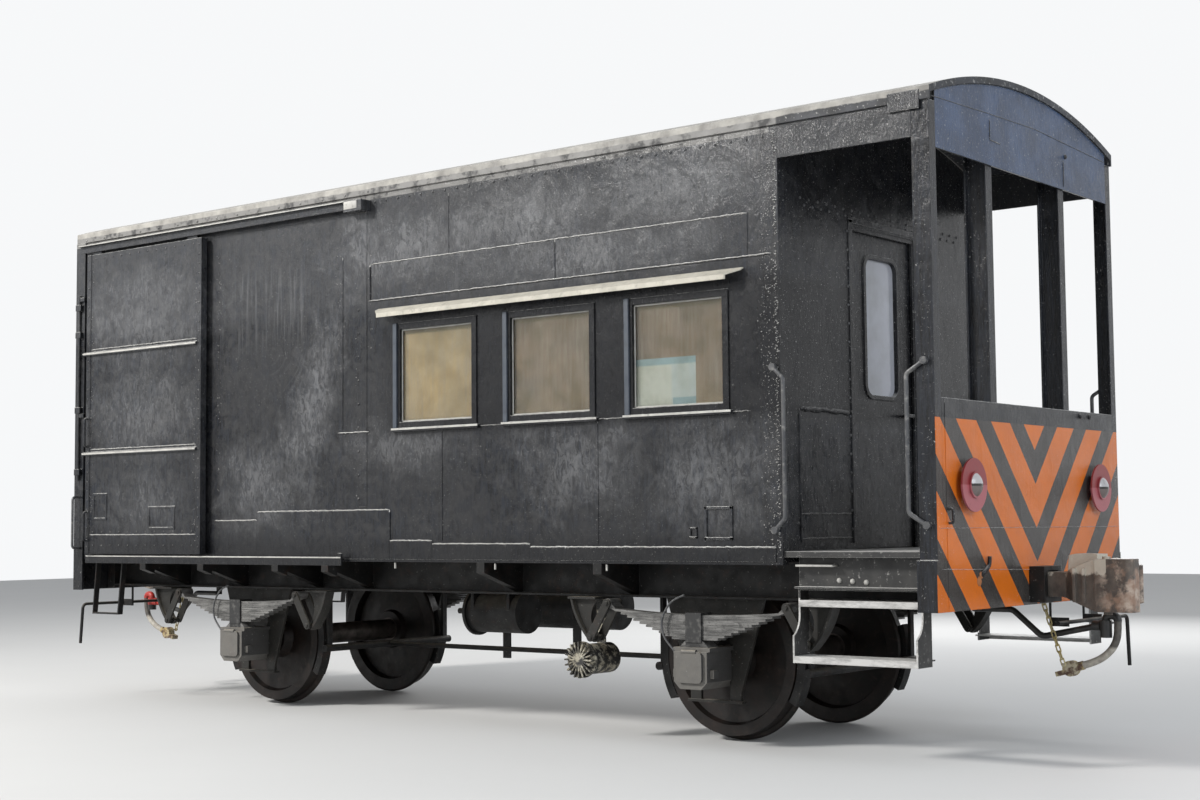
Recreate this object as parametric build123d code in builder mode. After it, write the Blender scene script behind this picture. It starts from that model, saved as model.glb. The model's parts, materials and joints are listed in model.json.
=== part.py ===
from build123d import *
from math import atan2, cos, degrees, pi, radians, sin, sqrt
import os

os.makedirs("parts", exist_ok=True)

# Two-axle caboose: luggage room with sliding doors, guard's cabin, open platform at +X.
# +X runs along the rails to the platform end, -Y is the near side, +Z is up.
# The origin lies midway between the axles, on the tips of the wheel flanges.

# Gaps
PRESS_GAP = 0.1            # between a wheel's bore and its seat, as drawn
RUNNING_GAP = 0.3          # at journals, pins and rollers
SEAT_GAP = 0.3             # between pieces that rest on each other
CLEARANCE = 6              # between pieces that pass each other

# Wheels and axles
WHEELBASE = 3810
TREAD_R = 430
FLANGE_DEPTH = 28
FLANGE_THICK = 30
WHEEL_GAUGE = 990          # between the backs of the two wheels of an axle
WHEEL_WIDTH = 115
RIM_DEPTH = 62
WEB_BULGE = 48             # of the wheel's web, from the wheel's back
WEB_THICK = 22
HUB_R = 128
HUB_OUT = 14               # that the hub stands out from the wheel's face
AXLE_R = 72
AXLE_SEAT_R = 84
JOURNAL_R = 55

RAIL_Z = FLANGE_DEPTH
AXLE_Z = RAIL_Z + TREAD_R
AXLE_X = WHEELBASE / 2
FLANGE_R = TREAD_R + FLANGE_DEPTH
WHEEL_BACK = WHEEL_GAUGE / 2
WHEEL_FACE = WHEEL_BACK + WHEEL_WIDTH

# Body, measured over its plates
BODY_LENGTH = 6960
BODY_WIDTH = 2240
WALL = 50
PLATE = 12
PLATFORM_LENGTH = 890
BODY_BOTTOM = RAIL_Z + 970
FLOOR_THICK = 48
EAVE_Z = RAIL_Z + 3350
ROOF_RISE = 190
ROOF_THICK = 36
ROOF_OVERHANG = 12
EAVE_STRIP = 72

HALF_L = BODY_LENGTH / 2
HALF_W = BODY_WIDTH / 2
CABIN_END = HALF_L - PLATFORM_LENGTH
INNER_W = HALF_W - WALL

# Underframe
SOLE_WEB_Y = 770           # outer face of a sole bar's web
SOLE_WEB = 10
SOLE_FLANGE = 80
SOLE_DEPTH = 210
FLANGE_PLATE = 12
SOLE_Z = RAIL_Z + 775
SOLE_TOP = SOLE_Z + SOLE_DEPTH
FLOOR_TOP = SOLE_TOP + FLOOR_THICK
DECK_TOP = FLOOR_TOP + 8
CENTRE_SILL_Y = 170
CENTRE_SILL_DEPTH = SOLE_DEPTH - 10
HEADSTOCK = 90

# Axle boxes and their guards
BOX_W = 220
BOX_FRONT = 1000
BOX_BACK = 700
BOX_BOTTOM = AXLE_Z - 140
BOX_TOP = RAIL_Z + 515
BOX_CAP = 22
GUARD_Y = SOLE_WEB_Y - SOLE_WEB
GUARD_THICK = 20
GUARD_BOTTOM = RAIL_Z + 215
GUARD_LEG = 70
GUARD_SPREAD = 330         # half width of a guard at the sole bar
GROOVE_GAP = 2

# Springs and their hangers; the three lengths below run from the axle
SPRING_HALF = 550
EYE = 600
HANGER_PIN = 720
SPRING_Y = 915
SPRING_WIDTH = 84
SPRING_TOP = RAIL_Z + 690
SPRING_SAG = 22
LEAF = 12.5
LEAF_GAP = 1.2
LEAVES = 10
SHORT_LEAF = 150           # half length of the shortest leaf
BUCKLE = 105
BUCKLE_WALL = 12
EYE_R = 26
EYE_Z = RAIL_Z + 742
HANGER_Z = RAIL_Z + 548
PIN_R = 13
SHACKLE_W = 50
SHACKLE_THICK = 14

# Doors of the luggage room
DOOR_W = 1280
DOOR_L = -HALF_L + 200
DOOR_R = DOOR_L + DOOR_W
DOOR_TOP = RAIL_Z + 3165
DOOR_BOTTOM = RAIL_Z + 1012
DOOR_THICK = 45
DOOR_OFF = 24              # from the wall to the back of the sliding door
DOOR_LAP = 60              # that the door laps over its doorway
DOOR_LAP_TOP = 110
SLIDE = 1260
RAIL_BAR = 12
RAIL_BAR_H = 55
DOOR_RAIL_TOP = RAIL_Z + 1000
ROLLER_R = 36
ROLLER_W = 24
TRACK_PLATE = 8
TRACK_TOP = RAIL_Z + 3244

DOOR_BACK = HALF_W + DOOR_OFF
DOOR_FACE = DOOR_BACK + DOOR_THICK
DOOR_MIDDLE = DOOR_BACK + DOOR_THICK / 2

# End door
END_DOOR_W = 700
END_DOOR_H = 1785
END_DOOR_THICK = 40
END_DOOR_SINK = 30         # from the wall's face to the leaf's face
END_DOOR_GAP = 10
HINGE_R = 11
HINGE_PIN_R = 6
HINGE_LEN = 62             # from the middle of a hinge to its end

# Windows
WINDOW_SILL = RAIL_Z + 1790
WINDOW_HEAD = RAIL_Z + 2440
# how far the left edge lies from the cabin's end wall, width
WINDOW_PLACES = ((2805, 675), (1900, 670), (1000, 680))
WINDOWS = [(CABIN_END - back, CABIN_END - back + width) for back, width in WINDOW_PLACES]
FRAME_W = 38
FRAME_OUT = 8
FRAME_IN = 30
SILL_OUT = 24
AWNING_L = WINDOWS[0][0] - 155
AWNING_R = WINDOWS[-1][1] + 100
AWNING_OUT = 88
AWNING_Z = RAIL_Z + 2545

# Platform
POST_SIDE = 100
POST_END = 65
POST_WEB = 10
INNER_POST_Y = 450
INNER_POST_W = 70
INNER_POST_DEPTH = 127
PANEL_BOTTOM = RAIL_Z + 745
PANEL_TOP = RAIL_Z + 1800
FASCIA_BOTTOM = RAIL_Z + 3045

# Couplers
COUPLER_Z = RAIL_Z + 852
COUPLER_REACH = 580        # beyond the body's end
COUPLER_POCKET = 85
SHANK_W = 120
SHANK_H = 130
HEAD_H = 272
COUPLER_HOLE_W = 220       # through the plates round a shank
COUPLER_HOLE_H = 150

near_and_far = (-1, 1)


def finish(piece, label):
    piece.part.label = label
    export_step(piece.part, f"parts/{label}.step")


def block(x0, x1, y0, y1, z0, z1, mode=Mode.ADD):
    """A square block between two corners."""
    with Locations(((x0 + x1) / 2, (y0 + y1) / 2, (z0 + z1) / 2)):
        Box(abs(x1 - x0), abs(y1 - y0), abs(z1 - z0), mode=mode)


def side_plane(y):
    """Upright plane along the vehicle: across is +X, up is +Z, and it extrudes towards -Y."""
    return Plane(origin=(0, y, 0), x_dir=(1, 0, 0), z_dir=(0, -1, 0))


def cross_plane(x):
    """Upright plane across the vehicle: across is +Y, up is +Z, and it extrudes towards +X."""
    return Plane(origin=(x, 0, 0), x_dir=(0, 1, 0), z_dir=(1, 0, 0))


def rod(points, radius, bend):
    """A round bar along straight runs with bends of one radius."""
    with BuildLine() as path:
        FilletPolyline(*points, radius=bend)
    with BuildSketch(Plane(origin=path.line @ 0, z_dir=path.line % 0)) as section:
        Circle(radius)
    sweep(sections=section.sketch, path=path.line)


def bar(direction, centre, start, end, radius, mode=Mode.ADD):
    """A round bar along X, Y or Z; centre holds its other two coordinates in order."""
    low = min(start, end)
    a, b = centre
    origin = {"x": (low, a, b), "y": (a, low, b), "z": (a, b, low)}[direction]
    along = {"x": (1, 0, 0), "y": (0, 1, 0), "z": (0, 0, 1)}[direction]
    with Locations(Plane(origin=origin, z_dir=along)):
        Cylinder(radius, abs(end - start), align=(Align.CENTER, Align.CENTER, Align.MIN), mode=mode)


# Wheelsets

def wheel_outline(side):
    """Half section of a wheel: distance across from the axle's middle, radius."""
    rim_in = TREAD_R - RIM_DEPTH
    bore = AXLE_SEAT_R + PRESS_GAP
    web_in = WHEEL_BACK + WEB_BULGE
    web_out = web_in + WEB_THICK
    flange_low = FLANGE_R - FLANGE_THICK / 2
    points = [
        (WHEEL_BACK, bore),
        (WHEEL_BACK, HUB_R),
        (web_in - HUB_OUT, HUB_R + HUB_OUT),
        (web_in, rim_in - HUB_OUT),
        (WHEEL_BACK, rim_in),
        (WHEEL_BACK, flange_low),
        (WHEEL_BACK + FLANGE_THICK / 2, FLANGE_R),
        (WHEEL_BACK + FLANGE_THICK, flange_low),
        (WHEEL_BACK + FLANGE_THICK + 4, TREAD_R + 3),
        (WHEEL_FACE, TREAD_R - 3),
        (WHEEL_FACE, rim_in),
        (web_out + HUB_OUT, rim_in - HUB_OUT),
        (web_out, HUB_R + HUB_OUT),
        (WHEEL_FACE + HUB_OUT, HUB_R - HUB_OUT),
        (WHEEL_FACE + HUB_OUT, bore),
    ]
    return [(side * across, r) for across, r in points]


def wheel_pair(x, label):
    with BuildPart() as wheels:
        for side in near_and_far:
            outline = wheel_outline(side)
            with BuildSketch(Plane(origin=(x, 0, AXLE_Z), x_dir=(0, 1, 0), z_dir=(1, 0, 0))):
                with BuildLine():
                    Polyline(*outline[:6])
                    ThreePointArc(outline[5], outline[6], outline[7])
                    Polyline(*outline[7:], outline[0])
                make_face()
            revolve(axis=Axis((x, 0, AXLE_Z), (0, 1, 0)))
    finish(wheels, label)


def axle(x, label):
    seat = WHEEL_FACE + HUB_OUT
    end = BOX_FRONT - 40
    with BuildPart() as shaft:
        bar("y", (x, AXLE_Z), -end, end, JOURNAL_R)
        bar("y", (x, AXLE_Z), -WHEEL_BACK, WHEEL_BACK, AXLE_R)
        for side in near_and_far:
            bar("y", (x, AXLE_Z), side * WHEEL_BACK, side * seat, AXLE_SEAT_R)
            bar("y", (x, AXLE_Z), side * seat, side * (BOX_BACK - CLEARANCE), AXLE_R)
    finish(shaft, label)


for letter, place in (("a", -AXLE_X), ("b", AXLE_X)):
    wheel_pair(place, f"wheels_{letter}")
    axle(place, f"axle_{letter}")


# Axle boxes: one is drawn at the middle on the far side, and placed at the four journals

CORNERS = Locations(
    Location((-AXLE_X, 0, 0)), Location((AXLE_X, 0, 0)),
    Location((-AXLE_X, 0, 0), (0, 0, 180)), Location((AXLE_X, 0, 0), (0, 0, 180)),
)

with BuildPart() as one_box:
    shoulder = 40
    with BuildSketch(Plane.XZ.offset(-BOX_FRONT)):
        with BuildLine():
            half = BOX_W / 2
            Polyline((-half, BOX_TOP - BOX_CAP), (-half, BOX_BOTTOM + shoulder),
                     (-half + shoulder, BOX_BOTTOM), (half - shoulder, BOX_BOTTOM),
                     (half, BOX_BOTTOM + shoulder), (half, BOX_TOP - BOX_CAP), close=True)
        make_face()
    extrude(amount=BOX_FRONT - BOX_BACK)
    # cap that carries the spring, and the lid with its hinge boss
    block(-half - 12, half + 12, BOX_BACK + 60, BOX_FRONT - 12, BOX_TOP - BOX_CAP, BOX_TOP)
    with BuildSketch(Plane.XZ.offset(-BOX_FRONT - 16)):
        with Locations((0, AXLE_Z - 20)):
            RectangleRounded(BOX_W - 50, 170, 26)
    extrude(amount=16)
    bar("x", (BOX_FRONT + 10, AXLE_Z + 64), -48, 48, 11)
    for ear in (-1, 1):
        block(ear * half, ear * (half + 26), BOX_FRONT - 70, BOX_FRONT - 30, AXLE_Z - 80, AXLE_Z - 35)
        # groove that rides on the guard's leg
        block(ear * (half - 14), ear * (half + 20), GUARD_Y - GUARD_THICK - GROOVE_GAP, GUARD_Y + GROOVE_GAP,
              BOX_BOTTOM - 5, BOX_TOP - BOX_CAP, Mode.SUBTRACT)
    bar("y", (0, AXLE_Z), BOX_BACK - 5, BOX_FRONT - 34, JOURNAL_R + RUNNING_GAP, Mode.SUBTRACT)

with BuildPart() as axle_boxes:
    with CORNERS:
        add(one_box.part)
finish(axle_boxes, "axle_boxes")


# Axle guards: a plate with two raking legs behind each box, tied by a bar at the bottom

with BuildPart() as one_guard:
    slot = BOX_W / 2 - 12
    slot_top = RAIL_Z + 610
    top = SOLE_Z + 60
    half_outline = [
        (0, top), (GUARD_SPREAD, top), (GUARD_SPREAD, SOLE_Z), (slot + GUARD_LEG, GUARD_BOTTOM + 40),
        (slot + GUARD_LEG, GUARD_BOTTOM), (slot, GUARD_BOTTOM), (slot, slot_top), (0, slot_top),
    ]
    with BuildSketch(side_plane(GUARD_Y)):
        with BuildLine():
            Polyline(*half_outline)
            mirror(about=Plane.YZ)
        make_face()
    extrude(amount=GUARD_THICK)
    tie = slot + GUARD_LEG + 12
    block(-tie, tie, GUARD_Y - GUARD_THICK - 14, GUARD_Y + 14, GUARD_BOTTOM - 14, GUARD_BOTTOM)

with BuildPart() as axle_guards:
    with CORNERS:
        add(one_guard.part)
finish(axle_guards, "axle_guards")


# Leaf springs: curved leaves that shorten downwards, in a buckle

LEAF_PITCH = LEAF + LEAF_GAP
STACK = LEAVES * LEAF_PITCH
SPRING_R = (SPRING_HALF ** 2 + SPRING_SAG ** 2) / (2 * SPRING_SAG)

with BuildPart() as one_spring:
    centre_z = SPRING_TOP + SPRING_R
    with BuildSketch(side_plane(SPRING_Y + SPRING_WIDTH / 2)):
        for n in range(LEAVES):
            half = SPRING_HALF - n * (SPRING_HALF - SHORT_LEAF) / (LEAVES - 1)
            top_r = SPRING_R + n * LEAF_PITCH
            low_r = top_r + LEAF
            swing = half / SPRING_R
            with BuildLine():
                upper = [(top_r * sin(a), centre_z - top_r * cos(a)) for a in (-swing, 0, swing)]
                lower = [(low_r * sin(a), centre_z - low_r * cos(a)) for a in (swing, 0, -swing)]
                ThreePointArc(*upper)
                Line(upper[2], lower[0])
                ThreePointArc(*lower)
                Line(lower[2], upper[0])
            make_face()
        # tapered ends of the main leaf, with their eyes
        tip = SPRING_HALF - 6
        tip_z = SPRING_TOP + SPRING_SAG
        for end in (-1, 1):
            with BuildLine():
                Polyline((end * tip, tip_z - LEAF), (end * tip, tip_z - 1),
                         (end * EYE, EYE_Z + EYE_R - 4), (end * EYE, EYE_Z - EYE_R + 4), close=True)
            make_face()
        with Locations((-EYE, EYE_Z), (EYE, EYE_Z)):
            Circle(EYE_R)
            Circle(PIN_R, mode=Mode.SUBTRACT)
    extrude(amount=SPRING_WIDTH)
    grip = SPRING_WIDTH / 2 + BUCKLE_WALL
    block(-BUCKLE / 2, BUCKLE / 2, SPRING_Y - grip, SPRING_Y + grip, SPRING_TOP - STACK - BUCKLE_WALL,
          SPRING_TOP + BUCKLE_WALL)
    with BuildSketch(side_plane(SPRING_Y + grip - 6)):
        with BuildLine():
            Polyline((-95, BOX_TOP + SEAT_GAP), (95, BOX_TOP + SEAT_GAP), (BUCKLE / 2, SPRING_TOP - STACK),
                     (-BUCKLE / 2, SPRING_TOP - STACK), close=True)
        make_face()
    extrude(amount=2 * grip - 12)

with BuildPart() as leaf_springs:
    with CORNERS:
        add(one_spring.part)
finish(leaf_springs, "leaf_springs")


# Spring hangers: curved brackets below the sole bars, and long shackles from their tips to the springs

BRACKET_LEN = 160          # from a bracket's pin to its far end, along the sole bar
BRACKET_RIM = 76
BRACKET_PLATE = 24
BRACKET_TOP = SOLE_Z - FLANGE_PLATE

with BuildPart() as one_bracket:
    front_x = HANGER_PIN - 30
    back_x = HANGER_PIN + BRACKET_LEN
    tip = (HANGER_PIN + 18, HANGER_Z - 28)
    heel = (HANGER_PIN - 28, HANGER_Z + 4)
    belly = (HANGER_PIN + 112, HANGER_Z + 92)
    inner_tip = (HANGER_PIN + 10, HANGER_Z - 16)
    inner_belly = (HANGER_PIN + 98, HANGER_Z + 96)
    with BuildSketch(side_plane(SPRING_Y + BRACKET_PLATE / 2)):
        with BuildLine():
            Line((front_x, BRACKET_TOP), (back_x, BRACKET_TOP))
            ThreePointArc((back_x, BRACKET_TOP), belly, tip)
            ThreePointArc(tip, (HANGER_PIN - 18, HANGER_Z - 22), heel)
            ThreePointArc(heel, (HANGER_PIN + 26, HANGER_Z + 102), (front_x, BRACKET_TOP))
        make_face()
    extrude(amount=BRACKET_PLATE)
    # rim along the outer curve
    with BuildSketch(side_plane(SPRING_Y + BRACKET_RIM / 2)):
        with BuildLine():
            ThreePointArc((back_x, BRACKET_TOP), belly, tip)
            Line(tip, inner_tip)
            ThreePointArc(inner_tip, inner_belly, (back_x - 14, BRACKET_TOP))
            Line((back_x - 14, BRACKET_TOP), (back_x, BRACKET_TOP))
        make_face()
    extrude(amount=BRACKET_RIM)
    # top plate bolted below the sole bar's flange
    block(front_x, back_x + FLANGE_PLATE, SOLE_WEB_Y + 8, SPRING_Y + BRACKET_RIM / 2 + 7, BRACKET_TOP, SOLE_Z)
    bar("y", (HANGER_PIN, HANGER_Z), SPRING_Y - BRACKET_RIM, SPRING_Y + BRACKET_RIM, PIN_R + RUNNING_GAP,
        Mode.SUBTRACT)
    mirror(about=Plane.YZ)

with BuildPart() as spring_brackets:
    with CORNERS:
        add(one_bracket.part)
finish(spring_brackets, "spring_brackets")

with BuildPart() as one_shackle:
    length = sqrt((HANGER_PIN - EYE) ** 2 + (EYE_Z - HANGER_Z) ** 2)
    lean = degrees(atan2(EYE_Z - HANGER_Z, EYE - HANGER_PIN))
    cheek = SPRING_WIDTH / 2 + 2
    for y in (SPRING_Y - cheek, SPRING_Y + cheek + SHACKLE_THICK):
        with BuildSketch(side_plane(y)):
            with Locations(Location(((HANGER_PIN + EYE) / 2, (EYE_Z + HANGER_Z) / 2), lean)):
                SlotCenterToCenter(length, SHACKLE_W)
        extrude(amount=SHACKLE_THICK)
    reach = cheek + SHACKLE_THICK + 8
    shackle_out = SPRING_Y + reach
    bar("y", (HANGER_PIN, HANGER_Z), SPRING_Y - reach, shackle_out, PIN_R)
    bar("y", (EYE, EYE_Z), SPRING_Y - reach, shackle_out, PIN_R - RUNNING_GAP)
    mirror(about=Plane.YZ)

with BuildPart() as spring_shackles:
    with CORNERS:
        add(one_shackle.part)
finish(spring_shackles, "spring_shackles")


# Underframe: channel sole bars, centre sills, cross members, end beams and outriggers

# under the doorway, under the door's run when open, and below the windows
DOOR_BRACKETS = (DOOR_R - 640, DOOR_R - 20, DOOR_R + SLIDE - 530, DOOR_R + SLIDE - 60)
OUTRIGGERS = DOOR_BRACKETS + (WINDOWS[0][1] + 20, WINDOWS[1][1])
OUTRIGGER_W = 60
CROSS_MEMBERS = (-AXLE_X - 795, -1000, 0, 1000, AXLE_X + 745)
CROSS_Z = SOLE_Z + 30

with BuildPart() as underframe:
    bar_length = BODY_LENGTH - 2 * HEADSTOCK
    with BuildSketch(cross_plane(-bar_length / 2)):
        outer = SOLE_WEB_Y + SOLE_FLANGE
        sill = CENTRE_SILL_Y + SOLE_WEB
        with BuildLine():
            Polyline((GUARD_Y, SOLE_Z), (outer, SOLE_Z), (outer, SOLE_Z + FLANGE_PLATE),
                     (SOLE_WEB_Y, SOLE_Z + FLANGE_PLATE), (SOLE_WEB_Y, SOLE_TOP - FLANGE_PLATE),
                     (outer, SOLE_TOP - FLANGE_PLATE), (outer, SOLE_TOP), (GUARD_Y, SOLE_TOP), close=True)
        make_face()
        with Locations(((CENTRE_SILL_Y + sill) / 2, SOLE_TOP - CENTRE_SILL_DEPTH / 2)):
            Rectangle(SOLE_WEB, CENTRE_SILL_DEPTH)
        mirror(about=Plane.YZ)
    extrude(amount=bar_length)
    with BuildSketch(side_plane(0)):
        for x in CROSS_MEMBERS:
            with Locations((x, (CROSS_Z + SOLE_TOP) / 2)):
                Rectangle(SOLE_WEB, SOLE_TOP - CROSS_Z)
            with Locations((x, CROSS_Z + SOLE_WEB / 2)):
                Rectangle(80, SOLE_WEB)
    extrude(amount=GUARD_Y, both=True)
    for end in (-1, 1):
        block(end * (HALF_L - HEADSTOCK), end * (HALF_L - PLATE), -outer, outer, SOLE_Z - 20, SOLE_TOP)
        block(end * (HALF_L - HEADSTOCK - 1), end * (HALF_L - 1), -COUPLER_HOLE_W / 2, COUPLER_HOLE_W / 2,
              COUPLER_Z - COUPLER_HOLE_H / 2, COUPLER_Z + COUPLER_HOLE_H / 2, Mode.SUBTRACT)
    # brackets out to the body's sides, and on under the bottom rails of the sliding doors
    for x in OUTRIGGERS:
        with BuildSketch(cross_plane(x - OUTRIGGER_W / 2)):
            with BuildLine():
                Polyline((SOLE_WEB_Y, SOLE_Z + FLANGE_PLATE), (HALF_W, BODY_BOTTOM - 60),
                         (HALF_W, BODY_BOTTOM), (INNER_W, BODY_BOTTOM), (INNER_W, SOLE_TOP),
                         (SOLE_WEB_Y, SOLE_TOP), close=True)
            make_face()
            if x in DOOR_BRACKETS:
                rail_out = DOOR_MIDDLE + RAIL_BAR / 2
                rail_low = DOOR_RAIL_TOP - RAIL_BAR_H
                with BuildLine():
                    Polyline((HALF_W - 30, BODY_BOTTOM - 95), (rail_out, rail_low - 40), (rail_out, rail_low),
                             (HALF_W - 30, rail_low), close=True)
                make_face()
            mirror(about=Plane.YZ)
        extrude(amount=OUTRIGGER_W)
finish(underframe, "underframe")


# Floors

PARTITION_X = WINDOWS[0][0] - 345
PARTITION_THICK = 40

# the floors of the luggage room and of the guard's cabin, either side of the partition
with BuildPart() as cabin_floor:
    block(-HALF_L + WALL, PARTITION_X - SEAT_GAP, -INNER_W, INNER_W, SOLE_TOP, FLOOR_TOP)
    block(PARTITION_X + PARTITION_THICK + SEAT_GAP, CABIN_END - WALL, -INNER_W, INNER_W, SOLE_TOP, FLOOR_TOP)
finish(cabin_floor, "cabin_floor")

DECK_PLATE = 30
DECK_BEAM_Y = HALF_W - 90
DECK_BEAM_OUT = 50
DECK_BEAM_Z = RAIL_Z + 850

with BuildPart() as platform_deck:
    deck_back = CABIN_END + SEAT_GAP
    deck_front = HALF_L - PLATE - SEAT_GAP
    deck_low = DECK_TOP - DECK_PLATE
    block(deck_back, deck_front, -HALF_W + PLATE, HALF_W - PLATE, deck_low, DECK_TOP)
    # packers on the sole bars and on the centre sills
    for y0, y1 in ((-SOLE_WEB_Y, -GUARD_Y + 60), (-CENTRE_SILL_Y, CENTRE_SILL_Y), (GUARD_Y - 60, SOLE_WEB_Y)):
        block(deck_back, HALF_L - HEADSTOCK, y0, y1, SOLE_TOP + SEAT_GAP, deck_low)
    # notches round the inner posts, which stand on the end beam
    for side in near_and_far:
        y = side * INNER_POST_Y
        notch = INNER_POST_W / 2 + SEAT_GAP
        notch_back = deck_front - INNER_POST_DEPTH - SEAT_GAP
        block(notch_back, deck_front + 1, y - notch, y + notch, SOLE_TOP, DECK_TOP + 1, Mode.SUBTRACT)
    # side channels below the deck's edges, tied to the sole bars
    with BuildSketch(cross_plane(CABIN_END + 40)):
        with BuildLine():
            beam_out = DECK_BEAM_Y + DECK_BEAM_OUT
            Polyline((DECK_BEAM_Y - SOLE_WEB, DECK_BEAM_Z), (beam_out, DECK_BEAM_Z),
                     (beam_out, DECK_BEAM_Z + SOLE_WEB), (DECK_BEAM_Y, DECK_BEAM_Z + SOLE_WEB),
                     (DECK_BEAM_Y, deck_low), (DECK_BEAM_Y - SOLE_WEB, deck_low), close=True)
        make_face()
        mirror(about=Plane.YZ)
    extrude(amount=PLATFORM_LENGTH - 40 - POST_SIDE)
    for x in (CABIN_END + 90, HALF_L - 160):
        for side in near_and_far:
            block(x - 6, x + 6, side * (SOLE_WEB_Y + SOLE_FLANGE + SEAT_GAP), side * DECK_BEAM_Y, DECK_BEAM_Z,
                  deck_low)
finish(platform_deck, "platform_deck")


# Steps: two treads a side between curved cheek plates

STEP_L = CABIN_END + 45
STEP_R = HALF_L - 135
STEP_FRONT = HALF_W - 8
STEP_BACK = SPRING_Y + BRACKET_RIM / 2 + 7 + CLEARANCE
STEP_SET = 62              # that the upper part of a cheek is set back
STEP_LOW = RAIL_Z + 470
CHEEK = 10
TREAD_PLATE = 8
TREAD_LIP = 34
# top, front edge, back edge
TREADS = (
    (RAIL_Z + 790, STEP_FRONT - STEP_SET, SOLE_WEB_Y + SOLE_FLANGE + CLEARANCE),
    (RAIL_Z + 505, STEP_FRONT, STEP_FRONT - 175),
)

with BuildPart() as platform_steps:
    high = DECK_BEAM_Z - SEAT_GAP
    front = STEP_FRONT - STEP_SET
    with BuildSketch(cross_plane(STEP_L), cross_plane(STEP_R)):
        with BuildLine():
            Polyline((STEP_BACK, high), (front, high), (front, STEP_LOW + 250))
            ThreePointArc((front, STEP_LOW + 250), (front + 0.2 * STEP_SET, STEP_LOW + 190),
                          (STEP_FRONT, STEP_LOW + 140))
            Polyline((STEP_FRONT, STEP_LOW + 140), (STEP_FRONT, STEP_LOW), (STEP_BACK, STEP_LOW),
                     (STEP_BACK, high))
        make_face()
        mirror(about=Plane.YZ)
    extrude(amount=CHEEK)
    for top, tread_front, tread_back in TREADS:
        with BuildSketch(cross_plane(STEP_L)):
            with BuildLine():
                Polyline((tread_back, top - TREAD_PLATE), (tread_front - TREAD_PLATE, top - TREAD_PLATE),
                         (tread_front - TREAD_PLATE, top - TREAD_LIP), (tread_front, top - TREAD_LIP),
                         (tread_front, top), (tread_back, top), close=True)
            make_face()
            mirror(about=Plane.YZ)
        extrude(amount=STEP_R + CHEEK - STEP_L)
    # seat plates between the cheeks' tops, below the deck's side channels
    for side in near_and_far:
        block(STEP_L, STEP_R + CHEEK, side * STEP_BACK, side * front, high - TREAD_PLATE, high)
        # notch in the inner cheek round the end of the spring's shackle
        around = SHACKLE_W / 2 + CLEARANCE
        block(STEP_L - 1, STEP_L + CHEEK + 1, side * (STEP_BACK - 1), side * (shackle_out + CLEARANCE),
              HANGER_Z - around, HANGER_Z + around, Mode.SUBTRACT)
finish(platform_steps, "platform_steps")


# The roof's arch, which the walls and the fascias fit under

ROOF_R = (HALF_W ** 2 + ROOF_RISE ** 2) / (2 * ROOF_RISE)
ROOF_CENTRE_Z = EAVE_Z + ROOF_RISE - ROOF_R


def arch_z(y, drop):
    """Height of the roof's outer face at y, less drop."""
    return ROOF_CENTRE_Z + sqrt((ROOF_R - drop) ** 2 - y ** 2)


WALL_TOP = arch_z(HALF_W, ROOF_THICK) - SEAT_GAP


# Side walls: the plates round the doorway, and the long plate with the three windows.
# The seams follow the doorway's edges.

DOORWAY_L = DOOR_L + DOOR_LAP
DOORWAY_R = DOOR_R - DOOR_LAP
DOORWAY_TOP = DOOR_TOP - DOOR_LAP_TOP


def side_wall(side, label):
    outer = side * HALF_W
    inner = side * INNER_W
    with BuildPart() as wall:
        block(-HALF_L, DOORWAY_L, inner, outer, BODY_BOTTOM, WALL_TOP)
        for low, high in ((BODY_BOTTOM, FLOOR_TOP), (DOORWAY_TOP, WALL_TOP)):
            block(DOORWAY_L + SEAT_GAP, DOORWAY_R - SEAT_GAP, inner, outer, low, high)
        with BuildSketch(side_plane(outer)):
            with Locations(((DOORWAY_R + CABIN_END) / 2, (BODY_BOTTOM + WALL_TOP) / 2)):
                Rectangle(CABIN_END - DOORWAY_R, WALL_TOP - BODY_BOTTOM)
            for left, right in WINDOWS:
                with Locations(((left + right) / 2, (WINDOW_SILL + WINDOW_HEAD) / 2)):
                    Rectangle(right - left, WINDOW_HEAD - WINDOW_SILL, mode=Mode.SUBTRACT)
        extrude(amount=side * WALL)
    finish(wall, label)


side_wall(-1, "near_side_wall")
side_wall(1, "far_side_wall")


# End walls and the partition, with arched tops below the roof

def end_wall_outline(half, bottom):
    """Outline across the vehicle, its top following the roof's inner face."""
    drop = ROOF_THICK + SEAT_GAP
    side_z = arch_z(half, drop)
    Polyline((-half, side_z), (-half, bottom), (half, bottom), (half, side_z))
    ThreePointArc((half, side_z), (0, arch_z(0, drop)), (-half, side_z))


END_DOORWAY_W = END_DOOR_W + 2 * END_DOOR_GAP
END_DOORWAY_TOP = FLOOR_TOP + END_DOOR_H + 2 * END_DOOR_GAP
LEAF_FACE = CABIN_END - END_DOOR_SINK
LEAF_BACK = LEAF_FACE - END_DOOR_THICK
BEAD_W = 24
BEAD_BACK = LEAF_FACE + CLEARANCE
BEAD_FACE = CABIN_END - CLEARANCE

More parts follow.
